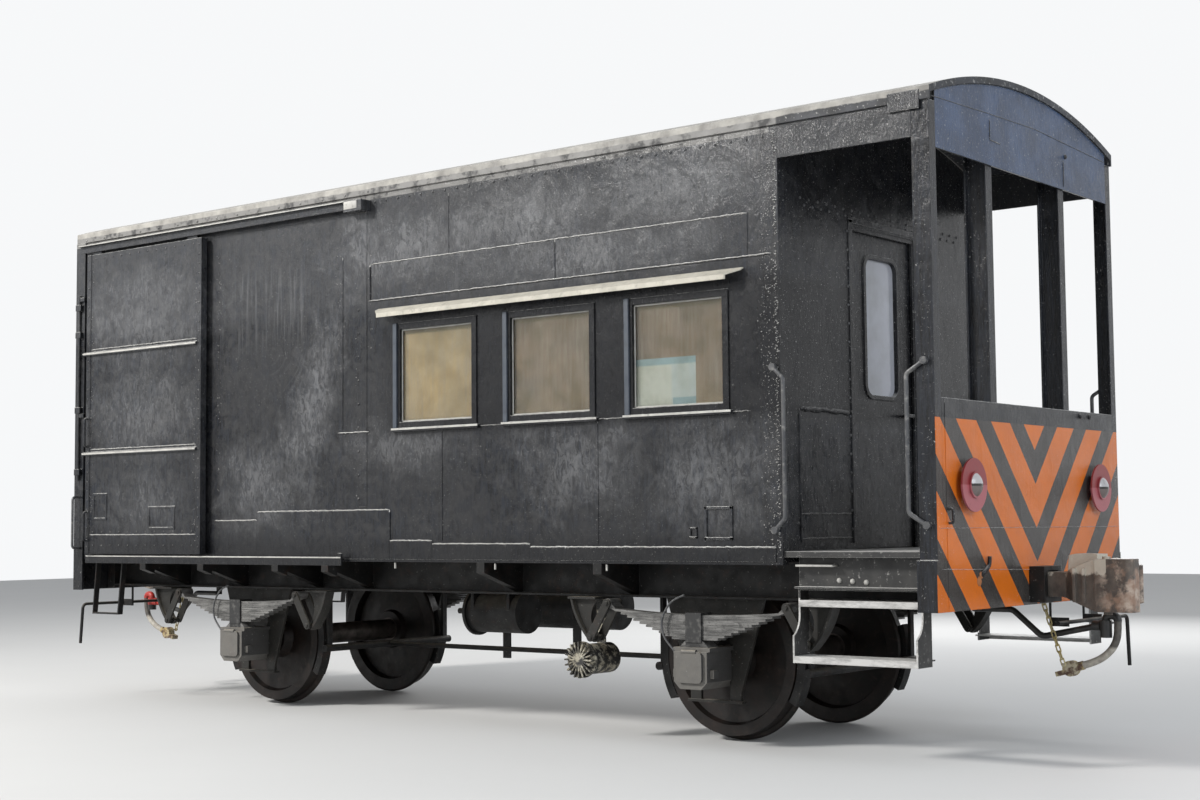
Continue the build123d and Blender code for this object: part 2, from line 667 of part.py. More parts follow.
with BuildPart() as cabin_end_wall:
    with BuildSketch(cross_plane(CABIN_END - WALL)):
        with BuildLine():
            end_wall_outline(INNER_W, SOLE_TOP)
        make_face()
        with Locations((0, (FLOOR_TOP + END_DOORWAY_TOP) / 2)):
            Rectangle(END_DOORWAY_W, END_DOORWAY_TOP - FLOOR_TOP, mode=Mode.SUBTRACT)
    extrude(amount=WALL)
    # bead that the leaf closes behind, on the lock side and above
    jamb = END_DOORWAY_W / 2
    block(BEAD_BACK, BEAD_FACE, jamb - BEAD_W, jamb, FLOOR_TOP, END_DOORWAY_TOP)
    block(BEAD_BACK, BEAD_FACE, -jamb, jamb, END_DOORWAY_TOP - BEAD_W, END_DOORWAY_TOP)
finish(cabin_end_wall, "cabin_end_wall")

with BuildPart() as luggage_end_wall:
    with BuildSketch(cross_plane(-HALF_L)):
        with BuildLine():
            end_wall_outline(INNER_W, SOLE_TOP)
        make_face()
    extrude(amount=WALL)
finish(luggage_end_wall, "luggage_end_wall")

with BuildPart() as partition:
    with BuildSketch(cross_plane(PARTITION_X)):
        with BuildLine():
            end_wall_outline(INNER_W, SOLE_TOP)
        make_face()
    extrude(amount=PARTITION_THICK)
finish(partition, "partition")


# Roof: one arched sheet with an eave strip down each side

with BuildPart() as roof:
    half = HALF_W + ROOF_OVERHANG
    with BuildSketch(cross_plane(-HALF_L - ROOF_OVERHANG)):
        outer_z = arch_z(half, 0)
        inner_z = arch_z(half, ROOF_THICK)
        with BuildLine():
            ThreePointArc((-half, outer_z), (0, arch_z(0, 0)), (half, outer_z))
            Line((half, outer_z), (half, inner_z))
            ThreePointArc((half, inner_z), (0, arch_z(0, ROOF_THICK)), (-half, inner_z))
            Line((-half, inner_z), (-half, outer_z))
        make_face()
        with Locations((HALF_W + ROOF_OVERHANG / 2, (EAVE_Z - EAVE_STRIP + outer_z - 20) / 2)):
            Rectangle(ROOF_OVERHANG, outer_z - 20 - EAVE_Z + EAVE_STRIP)
        mirror(about=Plane.YZ)
    extrude(amount=BODY_LENGTH + 2 * ROOF_OVERHANG)
finish(roof, "roof")


# Corner posts and ribs at the luggage end; the posts reach lower than the walls

ANGLE = 14                 # thickness of a corner post's flanges
POST_TOP = EAVE_Z - EAVE_STRIP - SEAT_GAP
POST_BOTTOM = RAIL_Z + 750
RIB_Y = 425
RIB_OUT = 60
RIB_FLANGE = 70
ROD_X = -HALF_L + 45
ROD_R = 9
ROD_Y = HALF_W + ANGLE + ROD_R + 2
GUIDES = (RAIL_Z + 1600, RAIL_Z + 2050, RAIL_Z + 2600, RAIL_Z + 2800)

with BuildPart() as corner_posts:
    with BuildSketch(Plane.XY.offset(POST_BOTTOM)):
        flange_in = INNER_W - 60
        flange_end = -HALF_L + 90
        with BuildLine():
            Polyline((-HALF_L - ANGLE, flange_in), (-HALF_L - ANGLE, HALF_W + ANGLE),
                     (flange_end, HALF_W + ANGLE), (flange_end, HALF_W), (-HALF_L, HALF_W),
                     (-HALF_L, flange_in), close=True)
        make_face()
        mirror(about=Plane.XZ)
    extrude(amount=POST_TOP - POST_BOTTOM)
    with BuildSketch(Plane.XY.offset(BODY_BOTTOM)):
        for side in near_and_far:
            with Locations((-HALF_L - PLATE / 2, side * RIB_Y)):
                Rectangle(PLATE, RIB_FLANGE)
            with Locations((-HALF_L - RIB_OUT / 2, side * RIB_Y)):
                Rectangle(RIB_OUT, SOLE_WEB)
    extrude(amount=POST_TOP - BODY_BOTTOM)
    block(-HALF_L - ANGLE, -HALF_L, -HALF_W, HALF_W, POST_BOTTOM, BODY_BOTTOM + 20)
    block(-HALF_L - ANGLE - 1, -HALF_L + 1, -COUPLER_HOLE_W / 2, COUPLER_HOLE_W / 2,
          COUPLER_Z - COUPLER_HOLE_H / 2, COUPLER_Z + COUPLER_HOLE_H / 2, Mode.SUBTRACT)
    # locking rod up each post in its guides, with two hooks
    for side in near_and_far:
        bar("z", (ROD_X, side * ROD_Y), GUIDES[0] - 60, GUIDES[-1] + 90, ROD_R)
        for z in GUIDES:
            block(ROD_X - 30, ROD_X + 30, side * HALF_W, side * (ROD_Y + ROD_R + 6), z - 22, z + 22)
        for z in (GUIDES[1] - 40, GUIDES[-1] + 60):
            block(ROD_X - 8, ROD_X + 60, side * (ROD_Y - 5), side * (ROD_Y + 5), z - 14, z + 14)
finish(corner_posts, "corner_posts")


# Sliding doors: a plate on a frame, with battens, corner angles, card frames and grips

ROLLER_X = (DOOR_L + 70, DOOR_R - 140)
ROLLER_SLOT = 15           # half width of a roller's slot
TONGUE = 8
BATTENS = (RAIL_Z + 2460, RAIL_Z + 1740)
BATTEN_H = 26
BATTEN_OUT = 18
EDGE_ANGLE = 45
EDGE_THICK = 4
GRIPS = ((RAIL_Z + 1780, RAIL_Z + 1980), (RAIL_Z + 1105, RAIL_Z + 1310))
GRIP_OUT = 34
GRIP_R = 8
# middle along the door, middle up the door, width, height
CARD_FRAMES = ((DOOR_L + 170, RAIL_Z + 1345, 160, 190), (DOOR_R - 415, RAIL_Z + 1260, 290, 160))
CARD_RIM = 16


def sliding_door(side, label):
    with BuildPart() as door:
        block(DOOR_L, DOOR_R, side * DOOR_BACK, side * DOOR_FACE, DOOR_BOTTOM, DOOR_TOP)
        # battens with sloping tops
        with BuildSketch(cross_plane(DOOR_L - 30)):
            for z in BATTENS:
                face = side * DOOR_FACE
                out = side * (DOOR_FACE + BATTEN_OUT)
                with BuildLine():
                    Polyline((face, z), (out, z - 8), (out, z - BATTEN_H), (face - side, z - BATTEN_H),
                             (face - side, z), close=True)
                make_face()
        extrude(amount=DOOR_R - DOOR_L - 10)
        rim = side * (DOOR_FACE + EDGE_THICK)
        for x in (DOOR_L, DOOR_R - EDGE_ANGLE):
            block(x, x + EDGE_ANGLE, side * DOOR_FACE, rim, DOOR_BOTTOM, DOOR_TOP)
        with BuildSketch(side_plane(max(side * DOOR_FACE, rim))):
            for x, z, width, height in CARD_FRAMES:
                with Locations((x, z)):
                    Rectangle(width, height)
                    Rectangle(width - 2 * CARD_RIM, height - 2 * CARD_RIM, mode=Mode.SUBTRACT)
        extrude(amount=EDGE_THICK)
        for x in ROLLER_X:
            slot_top = DOOR_RAIL_TOP + 2 * ROLLER_R + 8
            block(x - ROLLER_R - 8, x + ROLLER_R + 8, side * (DOOR_MIDDLE - ROLLER_SLOT),
                  side * (DOOR_MIDDLE + ROLLER_SLOT), DOOR_BOTTOM - 1, slot_top, Mode.SUBTRACT)
            # tongue behind the lip of the top track
            block(x - 50, x + 50, side * (DOOR_BACK + TONGUE), side * (DOOR_BACK + 2 * TONGUE), DOOR_TOP - 60,
                  TRACK_TOP - 20)
        for z0, z1 in GRIPS:
            x = DOOR_L + EDGE_ANGLE / 2
            y = side * (DOOR_FACE + GRIP_OUT)
            root = side * (DOOR_FACE - EDGE_THICK)
            rod([(x, root, z0), (x, y, z0), (x, y, z1), (x, root, z1)], GRIP_R, 20)
    finish(door, label)
    with BuildPart() as rollers:
        for x in ROLLER_X:
            centre = (x, DOOR_RAIL_TOP + ROLLER_R + RUNNING_GAP)
            middle = side * DOOR_MIDDLE
            bar("y", centre, middle - ROLLER_W / 2, middle + ROLLER_W / 2, ROLLER_R)
            bar("y", centre, middle - ROLLER_SLOT, middle + ROLLER_SLOT, 9)
    finish(rollers, label + "_rollers")


sliding_door(-1, "near_sliding_door")
sliding_door(1, "far_sliding_door")


# Door tracks: a hooded track above, with its stop, and a bar below on the underframe's brackets

TRACK_L = DOOR_L - 110
TRACK_R = DOOR_R + SLIDE + 140
TRACK_LIP = DOOR_BACK + 22
TRACK_LIP_Z = TRACK_TOP - 54
TRACK_STOP = 160
RAIL_END = DOOR_R + SLIDE + 90

with BuildPart() as door_tracks:
    with BuildSketch(cross_plane(TRACK_L)):
        hood_low = TRACK_TOP - TRACK_PLATE
        hood_out = DOOR_FACE + TRACK_PLATE
        lip_out = TRACK_LIP + TRACK_PLATE
        with BuildLine():
            Polyline((HALF_W, hood_low), (TRACK_LIP, hood_low), (TRACK_LIP, TRACK_LIP_Z),
                     (lip_out, TRACK_LIP_Z), (lip_out, hood_low), (hood_out, hood_low),
                     (hood_out, TRACK_TOP), (HALF_W, TRACK_TOP), close=True)
        make_face()
        mirror(about=Plane.YZ)
    extrude(amount=TRACK_R - TRACK_L)
    for side in near_and_far:
        block(TRACK_R, TRACK_R + TRACK_STOP, side * HALF_W, side * (DOOR_FACE + 14), TRACK_TOP - 74,
              TRACK_TOP - 4)
        low = DOOR_RAIL_TOP - RAIL_BAR_H + SEAT_GAP
        y0 = side * (DOOR_MIDDLE - RAIL_BAR / 2)
        y1 = side * (DOOR_MIDDLE + RAIL_BAR / 2)
        block(DOOR_L - 20, RAIL_END, y0, y1, low, DOOR_RAIL_TOP)
        block(RAIL_END - 30, RAIL_END, y0, y1, DOOR_RAIL_TOP, DOOR_RAIL_TOP + 24)
finish(door_tracks, "door_tracks")


# Windows: frames that stand proud, glass, and the boards behind it

with BuildPart() as window_frames:
    for side in near_and_far:
        with BuildSketch(side_plane(side * (HALF_W + FRAME_OUT))):
            for left, right in WINDOWS:
                with Locations(((left + right) / 2, (WINDOW_SILL + WINDOW_HEAD) / 2)):
                    width = right - left
                    height = WINDOW_HEAD - WINDOW_SILL
                    Rectangle(width - 2 * SEAT_GAP, height - 2 * SEAT_GAP)
                    Rectangle(width - 2 * FRAME_W, height - 2 * FRAME_W, mode=Mode.SUBTRACT)
        extrude(amount=side * (FRAME_OUT + FRAME_IN))
        for left, right in WINDOWS:
            block(left - 22, right + 22, side * (HALF_W + SEAT_GAP), side * (HALF_W + SILL_OUT),
                  WINDOW_SILL - 22, WINDOW_SILL + SEAT_GAP)
finish(window_frames, "window_frames")

with BuildPart() as window_glass:
    for side in near_and_far:
        for left, right in WINDOWS:
            block(left + FRAME_W, right - FRAME_W, side * (HALF_W - 20), side * (HALF_W - 14),
                  WINDOW_SILL + FRAME_W, WINDOW_HEAD - FRAME_W)
finish(window_glass, "window_glass")

with BuildPart() as window_boards:
    for side in near_and_far:
        for left, right in WINDOWS:
            block(left + SEAT_GAP, right - SEAT_GAP, side * (HALF_W - FRAME_IN - 12),
                  side * (HALF_W - FRAME_IN - SEAT_GAP), WINDOW_SILL + SEAT_GAP, WINDOW_HEAD - SEAT_GAP)
finish(window_boards, "window_boards")


# Awnings: bent strips over the windows, cut back at their ends

with BuildPart() as awnings:
    out = HALF_W + AWNING_OUT
    with BuildSketch(cross_plane(AWNING_L)):
        with BuildLine():
            Polyline((HALF_W, AWNING_Z), (out, AWNING_Z - 40), (out, AWNING_Z - 67), (out - 6, AWNING_Z - 67),
                     (out - 6, AWNING_Z - 45), (HALF_W, AWNING_Z - 7), close=True)
        make_face()
        mirror(about=Plane.YZ)
    extrude(amount=AWNING_R - AWNING_L)
    for side in near_and_far:
        with BuildSketch(Plane.XY.offset(AWNING_Z - AWNING_OUT)):
            for end, inward in ((AWNING_L, 1), (AWNING_R, -1)):
                with BuildLine():
                    Polyline((end - inward, side * (out - 60)), (end - inward, side * (out + 1)),
                             (end + inward * 70, side * (out + 1)), close=True)
                make_face()
        extrude(amount=AWNING_OUT + 1, mode=Mode.SUBTRACT)
finish(awnings, "awnings")


# End door, with its window, hinges and handle

HINGE_X = LEAF_BACK - HINGE_R - 3
HINGE_Y = -END_DOORWAY_W / 2
LEAF_R = END_DOOR_W / 2
LEAF_LOW = FLOOR_TOP + END_DOOR_GAP
LEAF_HIGH = LEAF_LOW + END_DOOR_H
LIGHT_W = 350
LIGHT_LOW = RAIL_Z + 1905
LIGHT_HIGH = RAIL_Z + 2680
LIGHT_CORNER = 60
LIGHT_RIM = 25
HINGES = (FLOOR_TOP + 220, FLOOR_TOP + 900, FLOOR_TOP + 1560)
LEAF_HINGE = 30            # half length of the hinge knuckle on the leaf
LOCK_Y = LEAF_R - 62
LOCK_Z = RAIL_Z + 1800


def light(grow):
    """The rounded outline of the door's window, grown all round."""
    with Locations((0, (LIGHT_LOW + LIGHT_HIGH) / 2)):
        RectangleRounded(LIGHT_W + 2 * grow, LIGHT_HIGH - LIGHT_LOW + 2 * grow, LIGHT_CORNER + grow)


with BuildPart() as end_door:
    block(LEAF_BACK, LEAF_FACE, -LEAF_R, LEAF_R, LEAF_LOW, LEAF_HIGH)
    with BuildSketch(cross_plane(LEAF_FACE)):
        light(LIGHT_RIM)
    extrude(amount=8)
    with BuildSketch(cross_plane(LEAF_BACK - 1)):
        light(0)
    extrude(amount=END_DOOR_THICK + 20, mode=Mode.SUBTRACT)
    for z in HINGES:
        block(HINGE_X - 4, HINGE_X + 4, HINGE_Y, -LEAF_R + 120, z - LEAF_HINGE, z + LEAF_HINGE)
        block(HINGE_X - 4, LEAF_BACK, -LEAF_R + 30, -LEAF_R + 120, z - LEAF_HINGE, z + LEAF_HINGE)
        bar("z", (HINGE_X, HINGE_Y), z - LEAF_HINGE, z + LEAF_HINGE, HINGE_R)
        bar("z", (HINGE_X, HINGE_Y), z - LEAF_HINGE - 1, z + LEAF_HINGE + 1, HINGE_PIN_R + RUNNING_GAP,
            Mode.SUBTRACT)
    # lock plate, and a lever on each face
    block(LEAF_FACE, LEAF_FACE + 6, LOCK_Y - 18, LOCK_Y + 18, LOCK_Z - 100, LOCK_Z + 60)
    bar("x", (LOCK_Y, LOCK_Z), LEAF_BACK - 50, LEAF_FACE + 42, 9)
    for x in (LEAF_BACK - 50, LEAF_FACE + 30):
        block(x, x + 12, LOCK_Y - 108, LOCK_Y + 9, LOCK_Z - 9, LOCK_Z + 9)
finish(end_door, "end_door")

with BuildPart() as end_door_glass:
    with BuildSketch(cross_plane(LEAF_BACK + 16)):
        light(-SEAT_GAP)
    extrude(amount=6)
finish(end_door_glass, "end_door_glass")

with BuildPart() as end_door_hinges:
    for z in HINGES:
        bar("z", (HINGE_X, HINGE_Y), z - HINGE_LEN, z + HINGE_LEN, HINGE_PIN_R)
        for z0, z1 in ((z - HINGE_LEN, z - LEAF_HINGE - 1), (z + LEAF_HINGE + 1, z + HINGE_LEN)):
            bar("z", (HINGE_X, HINGE_Y), z0, z1, HINGE_R)
            block(HINGE_X - 4, HINGE_X + 4, HINGE_Y - 70, HINGE_Y, z0, z1)
            block(HINGE_X + 4, CABIN_END - WALL, HINGE_Y - 70, HINGE_Y - 14, z0, z1)
finish(end_door_hinges, "end_door_hinges")


# Platform: corner angles, inner channel posts, end panel and fascias

with BuildPart() as platform_posts:
    with BuildSketch(Plane.XY.offset(PANEL_BOTTOM)):
        with BuildLine():
            Polyline((HALF_L, HALF_W), (HALF_L - POST_SIDE, HALF_W), (HALF_L - POST_SIDE, HALF_W - POST_WEB),
                     (HALF_L - POST_WEB, HALF_W - POST_WEB), (HALF_L - POST_WEB, HALF_W - POST_END),
                     (HALF_L, HALF_W - POST_END), close=True)
        make_face()
        mirror(about=Plane.XZ)
    extrude(amount=POST_TOP - PANEL_BOTTOM)
    for side in near_and_far:
        # thicker lower end
        block(HALF_L - POST_SIDE - 12, HALF_L, side * HALF_W, side * (HALF_W + 10), PANEL_BOTTOM,
              RAIL_Z + 1000)
    with BuildSketch(Plane.XY.offset(SOLE_TOP + SEAT_GAP)):
        inner_x = HALF_L - PLATE - SEAT_GAP
        for side in near_and_far:
            y = side * INNER_POST_Y
            with Locations((inner_x - INNER_POST_DEPTH / 2, y)):
                Rectangle(INNER_POST_DEPTH, POST_WEB)
            with Locations((inner_x - POST_WEB / 2, y), (inner_x - INNER_POST_DEPTH + POST_WEB / 2, y)):
                Rectangle(POST_WEB, INNER_POST_W)
    extrude(amount=arch_z(INNER_POST_Y + INNER_POST_W / 2, ROOF_THICK) - SOLE_TOP - 2 * SEAT_GAP)
finish(platform_posts, "platform_posts")

PANEL_HALF = HALF_W - POST_END - SEAT_GAP
PANEL_RIM = 38             # depth of the ledge along the panel's top
PANEL_LEDGE = 8

with BuildPart() as end_panel:
    with BuildSketch(cross_plane(HALF_L - PLATE)):
        with Locations((0, (PANEL_BOTTOM + PANEL_TOP) / 2)):
            Rectangle(2 * PANEL_HALF, PANEL_TOP - PANEL_BOTTOM)
        with Locations((0, COUPLER_Z)):
            Rectangle(COUPLER_HOLE_W, COUPLER_HOLE_H, mode=Mode.SUBTRACT)
    extrude(amount=PLATE)
    post = INNER_POST_W / 2 + SEAT_GAP
    for y0, y1 in ((-PANEL_HALF, -INNER_POST_Y - post), (-INNER_POST_Y + post, INNER_POST_Y - post),
                   (INNER_POST_Y + post, PANEL_HALF)):
        block(HALF_L - PLATE - PANEL_RIM, HALF_L - PLATE, y0, y1, PANEL_TOP - PANEL_LEDGE, PANEL_TOP)
finish(end_panel, "end_panel")

with BuildPart() as platform_fascias:
    with BuildSketch(cross_plane(HALF_L - PLATE)):
        with BuildLine():
            end_wall_outline(PANEL_HALF, FASCIA_BOTTOM)
        make_face()
    extrude(amount=PLATE)
    for side in near_and_far:
        block(CABIN_END + SEAT_GAP, HALF_L - POST_SIDE - SEAT_GAP, side * (HALF_W - PLATE), side * HALF_W,
              FASCIA_BOTTOM + 55, WALL_TOP)
finish(platform_fascias, "platform_fascias")


# Marker discs with their domed lenses

LAMP_Y = 790
LAMP_Z = RAIL_Z + 1370
LAMP_R = 135
LENS_R = 58
LENS_RISE = 26
# depth of each step of the disc from the panel, radius
LAMP_STEPS = ((0, 30, 70), (30, 40, LAMP_R), (40, 50, LENS_R + 8))

with BuildPart() as marker_discs:
    for side in near_and_far:
        for x0, x1, r in LAMP_STEPS:
            bar("x", (side * LAMP_Y, LAMP_Z), HALF_L + max(x0, SEAT_GAP), HALF_L + x1, r)
finish(marker_discs, "marker_discs")

with BuildPart() as marker_lenses:
    lens_x = HALF_L + LAMP_STEPS[-1][1] + SEAT_GAP
    dome_r = (LENS_R ** 2 + LENS_RISE ** 2) / (2 * LENS_RISE)
    for side in near_and_far:
        with BuildSketch(Plane(origin=(lens_x, side * LAMP_Y, LAMP_Z), x_dir=(0, 0, 1), z_dir=(0, 1, 0))):
            with BuildLine():
                Line((0, 0), (LENS_R, 0))
                RadiusArc((LENS_R, 0), (0, LENS_RISE), -dome_r)
                Line((0, LENS_RISE), (0, 0))
            make_face()
        revolve(axis=Axis((lens_x, side * LAMP_Y, LAMP_Z), (1, 0, 0)))
finish(marker_lenses, "marker_lenses")


# Handrails

RAIL_R = 11
KNOB_R = 19
# where the ends stand, where the bar stands, lower end, upper end
RAILS = (
    (CABIN_END - 40, CABIN_END + 22, RAIL_Z + 1150, RAIL_Z + 2000),
    (HALF_L - 50, HALF_L - 150, RAIL_Z + 1170, RAIL_Z + 1980),
)
GRAB_OUT = 55
GRAB_R = 9
GRAB = (RAIL_Z + 1050, RAIL_Z + 1420)

with BuildPart() as handrails:
    for side in near_and_far:
        y = side * (HALF_W + RAIL_R)
        for x_end, x_bar, z0, z1 in RAILS:
            slope = 60
            rod([(x_end, y, z0), (x_bar, y, z0 + slope), (x_bar, y, z1 - slope), (x_end, y, z1)], RAIL_R, 30)
            for z in (z0, z1):
                bar("y", (x_end, z), y - RAIL_R, y + RAIL_R, KNOB_R)
        # grab handle on the corner post of the luggage end
        foot = side * (HALF_W + ANGLE + SEAT_GAP)
        out = side * (HALF_W + ANGLE + GRAB_OUT)
        rod([(ROD_X, foot, GRAB[0]), (ROD_X, out, GRAB[0]), (ROD_X, out, GRAB[1]), (ROD_X, foot, GRAB[1])],
            GRAB_R, 22)
finish(handrails, "handrails")


# Stirrups below the luggage end: a strap bent round, wider at the top than at the tread

STIRRUP_TOP = (DOOR_L + 10, DOOR_L + 320)
STIRRUP_LOW = (DOOR_L - 30, DOOR_L + 270)
STIRRUP_Z = RAIL_Z + 580
STIRRUP_W = 40
STRAP = 12

with BuildPart() as stirrups:
    for side in near_and_far:
        with BuildSketch(side_plane(side * (HALF_W - STIRRUP_W) + STIRRUP_W / 2)):
            with BuildLine():
                Polyline((STIRRUP_TOP[0], BODY_BOTTOM), (STIRRUP_LOW[0], STIRRUP_Z),
                         (STIRRUP_LOW[1], STIRRUP_Z), (STIRRUP_TOP[1], BODY_BOTTOM),
                         (STIRRUP_TOP[1] - STRAP, BODY_BOTTOM),
                         (STIRRUP_LOW[1] - STRAP + 2, STIRRUP_Z + STRAP),
                         (STIRRUP_LOW[0] + STRAP - 2, STIRRUP_Z + STRAP),
                         (STIRRUP_TOP[0] + STRAP, BODY_BOTTOM), close=True)
            make_face()
        extrude(amount=STIRRUP_W)
finish(stirrups, "stirrups")


# Couplers, alike at both ends: a half turn carries one onto the other.
# The head flares from the shank to the mouth between the guard arm (+Y side) and the knuckle.

HEAD_BACK = HALF_L + 185
MOUTH = HALF_L + 374       # front of the head, where the knuckle begins
TIP_X = HALF_L + COUPLER_REACH
SHANK_BACK = HALF_L - 300
GUARD_TIP = (TIP_X - 90, 190)
GUARD_TIP_IN = (TIP_X - 90, 144)
KNUCKLE_Y = -140
KNUCKLE_PIN = (MOUTH + 46, -84)
KNUCKLE_H = 272
LIFTER_HOLE = 16

with BuildPart() as coupler_head:
    with BuildSketch(Plane.XY.offset(COUPLER_Z - HEAD_H / 2)):
        with BuildLine():
            Polyline((HEAD_BACK - 20, -SHANK_W / 2), (HEAD_BACK, -SHANK_W / 2), (HEAD_BACK + 60, -118),
                     (MOUTH, KNUCKLE_Y + 8), (MOUTH, -46), (MOUTH + 40, -20))
            ThreePointArc((MOUTH + 40, -20), (MOUTH + 22, 52), GUARD_TIP_IN)
            ThreePointArc(GUARD_TIP_IN, (GUARD_TIP[0] + 22, GUARD_TIP[1] - 22), GUARD_TIP)
            Polyline(GUARD_TIP, (MOUTH - 70, 168), (HEAD_BACK + 40, 96), (HEAD_BACK, SHANK_W / 2),
                     (HEAD_BACK - 20, SHANK_W / 2), (HEAD_BACK - 20, -SHANK_W / 2))
        make_face()
    extrude(amount=HEAD_H)
    # the head's side outline: it deepens from the shank to the mouth, and the guard arm is less deep
    with BuildSketch(side_plane(KNUCKLE_Y - 20)):
        with BuildLine():
            Polyline((HEAD_BACK - 20, COUPLER_Z + SHANK_H / 2), (HEAD_BACK, COUPLER_Z + SHANK_H / 2),
                     (MOUTH - 60, COUPLER_Z + HEAD_H / 2 - 20), (MOUTH, COUPLER_Z + HEAD_H / 2),
                     (GUARD_TIP[0] + 30, COUPLER_Z + 95), (GUARD_TIP[0] + 30, COUPLER_Z - 95),
                     (MOUTH, COUPLER_Z - HEAD_H / 2), (HEAD_BACK + 60, COUPLER_Z - SHANK_H / 2 - 20),
                     (HEAD_BACK - 20, COUPLER_Z - SHANK_H / 2), close=True)
        make_face()
    extrude(amount=-2 * GUARD_TIP[1] - 40, mode=Mode.INTERSECT)

with BuildPart() as one_coupler:
    add(coupler_head.part)
    block(SHANK_BACK, HEAD_BACK, -SHANK_W / 2, SHANK_W / 2, COUPLER_Z - SHANK_H / 2, COUPLER_Z + SHANK_H / 2)
    # ribs down the head's side, and the lifter's hood with its hole
    for x in (HEAD_BACK + 66, HEAD_BACK + 118):
        block(x, x + 16, KNUCKLE_Y + 6, -60, COUPLER_Z - 88, COUPLER_Z + 88)
    with BuildSketch(side_plane(70)):
        with BuildLine():
            hood = COUPLER_Z + HEAD_H / 2
            Polyline((HEAD_BACK + 12, COUPLER_Z), (HEAD_BACK + 22, hood + 18), (HEAD_BACK + 60, hood + 26),
                     (MOUTH - 12, hood + 24), (MOUTH - 1, COUPLER_Z), close=True)
        make_face()
    extrude(amount=140)
    hole = ((HEAD_BACK + MOUTH) / 2 + 20, 0)
    bar("z", hole, COUPLER_Z + HEAD_H / 2 - 20, COUPLER_Z + HEAD_H / 2 + 40, LIFTER_HOLE, Mode.SUBTRACT)

with BuildPart() as couplers:
    with Locations(Location((0, 0, 0)), Location((0, 0, 0), (0, 0, 180))):
        add(one_coupler.part)
finish(couplers, "couplers")

with BuildPart() as one_knuckle:
    with BuildSketch(Plane.XY.offset(COUPLER_Z - KNUCKLE_H / 2)):
        with BuildLine():
            face = MOUTH + SEAT_GAP
            Polyline((face, KNUCKLE_Y), (TIP_X - 34, KNUCKLE_Y - 10))
            ThreePointArc((TIP_X - 34, KNUCKLE_Y - 10), (TIP_X - 9, KNUCKLE_Y), (TIP_X, KNUCKLE_Y + 24))
            Polyline((TIP_X, KNUCKLE_Y + 24), (TIP_X - 6, -44))
            ThreePointArc((TIP_X - 6, -44), (TIP_X - 38, -10), (TIP_X - 78, -34))
            Polyline((TIP_X - 78, -34), (MOUTH + 44, -34), (face, -50 - CLEARANCE), (face, KNUCKLE_Y))
        make_face()
    extrude(amount=KNUCKLE_H)
    # pin through the jaws
    bar("z", KNUCKLE_PIN, COUPLER_Z - KNUCKLE_H / 2 - 16, COUPLER_Z + KNUCKLE_H / 2 + 12, 22)

with BuildPart() as knuckles:
    with Locations(Location((0, 0, 0)), Location((0, 0, 0), (0, 0, 180))):
        add(one_knuckle.part)
finish(knuckles, "knuckles")

POCKET_W = 210
POCKET_H = 190
with BuildPart() as coupler_pockets:
    for start, end in ((HALF_L + SEAT_GAP, 1), (HALF_L + ANGLE + SEAT_GAP, -1)):
        with BuildSketch(cross_plane(end * start)):
            with Locations((0, COUPLER_Z)):
                Rectangle(POCKET_W, POCKET_H)
            with Locations((0, COUPLER_Z + (CLEARANCE - SEAT_GAP) / 2)):
                Rectangle(SHANK_W + 2 * CLEARANCE, SHANK_H + SEAT_GAP + CLEARANCE, mode=Mode.SUBTRACT)
        extrude(amount=end * (HALF_L + COUPLER_POCKET - start))
finish(coupler_pockets, "coupler_pockets")


# Uncoupling levers across the ends, their handles hanging at opposite corners

LEVER_Z = RAIL_Z + 640
LEVER_X = HALF_L + 80
LEVER_R = 11
LEVER_END = 1000
LEVER_DROP = RAIL_Z + 355
BEARINGS = (200, 640)

with BuildPart() as one_lever:
    rod([(LEVER_X, 60, LEVER_Z), (LEVER_X, LEVER_END, LEVER_Z), (LEVER_X, LEVER_END + 20, LEVER_DROP)],
        LEVER_R, 34)
    for y in BEARINGS:
        block(HALF_L - 20, LEVER_X, y - 6, y + 6, LEVER_Z - 24, LEVER_Z + 24)
        block(HALF_L - 30, HALF_L - 20, y - 6, y + 6, LEVER_Z - 24, SOLE_Z - 20 - SEAT_GAP)

with BuildPart() as uncoupling_levers:
    with Locations(Location((0, 0, 0)), Location((0, 0, 0), (0, 0, 180))):
        add(one_lever.part)
finish(uncoupling_levers, "uncoupling_levers")


# Brake pipes: each rises from under the frame to an angle cock with a swan neck for the hose

COCK_X = HALF_L + 275
COCK_Y = 230
COCK_Z = RAIL_Z + 624
PIPE_R = 17
NECK_X = HALF_L + 342
NECK_Z = RAIL_Z + 680
NECK_R = 22
HOSE_TOP = RAIL_Z + 650

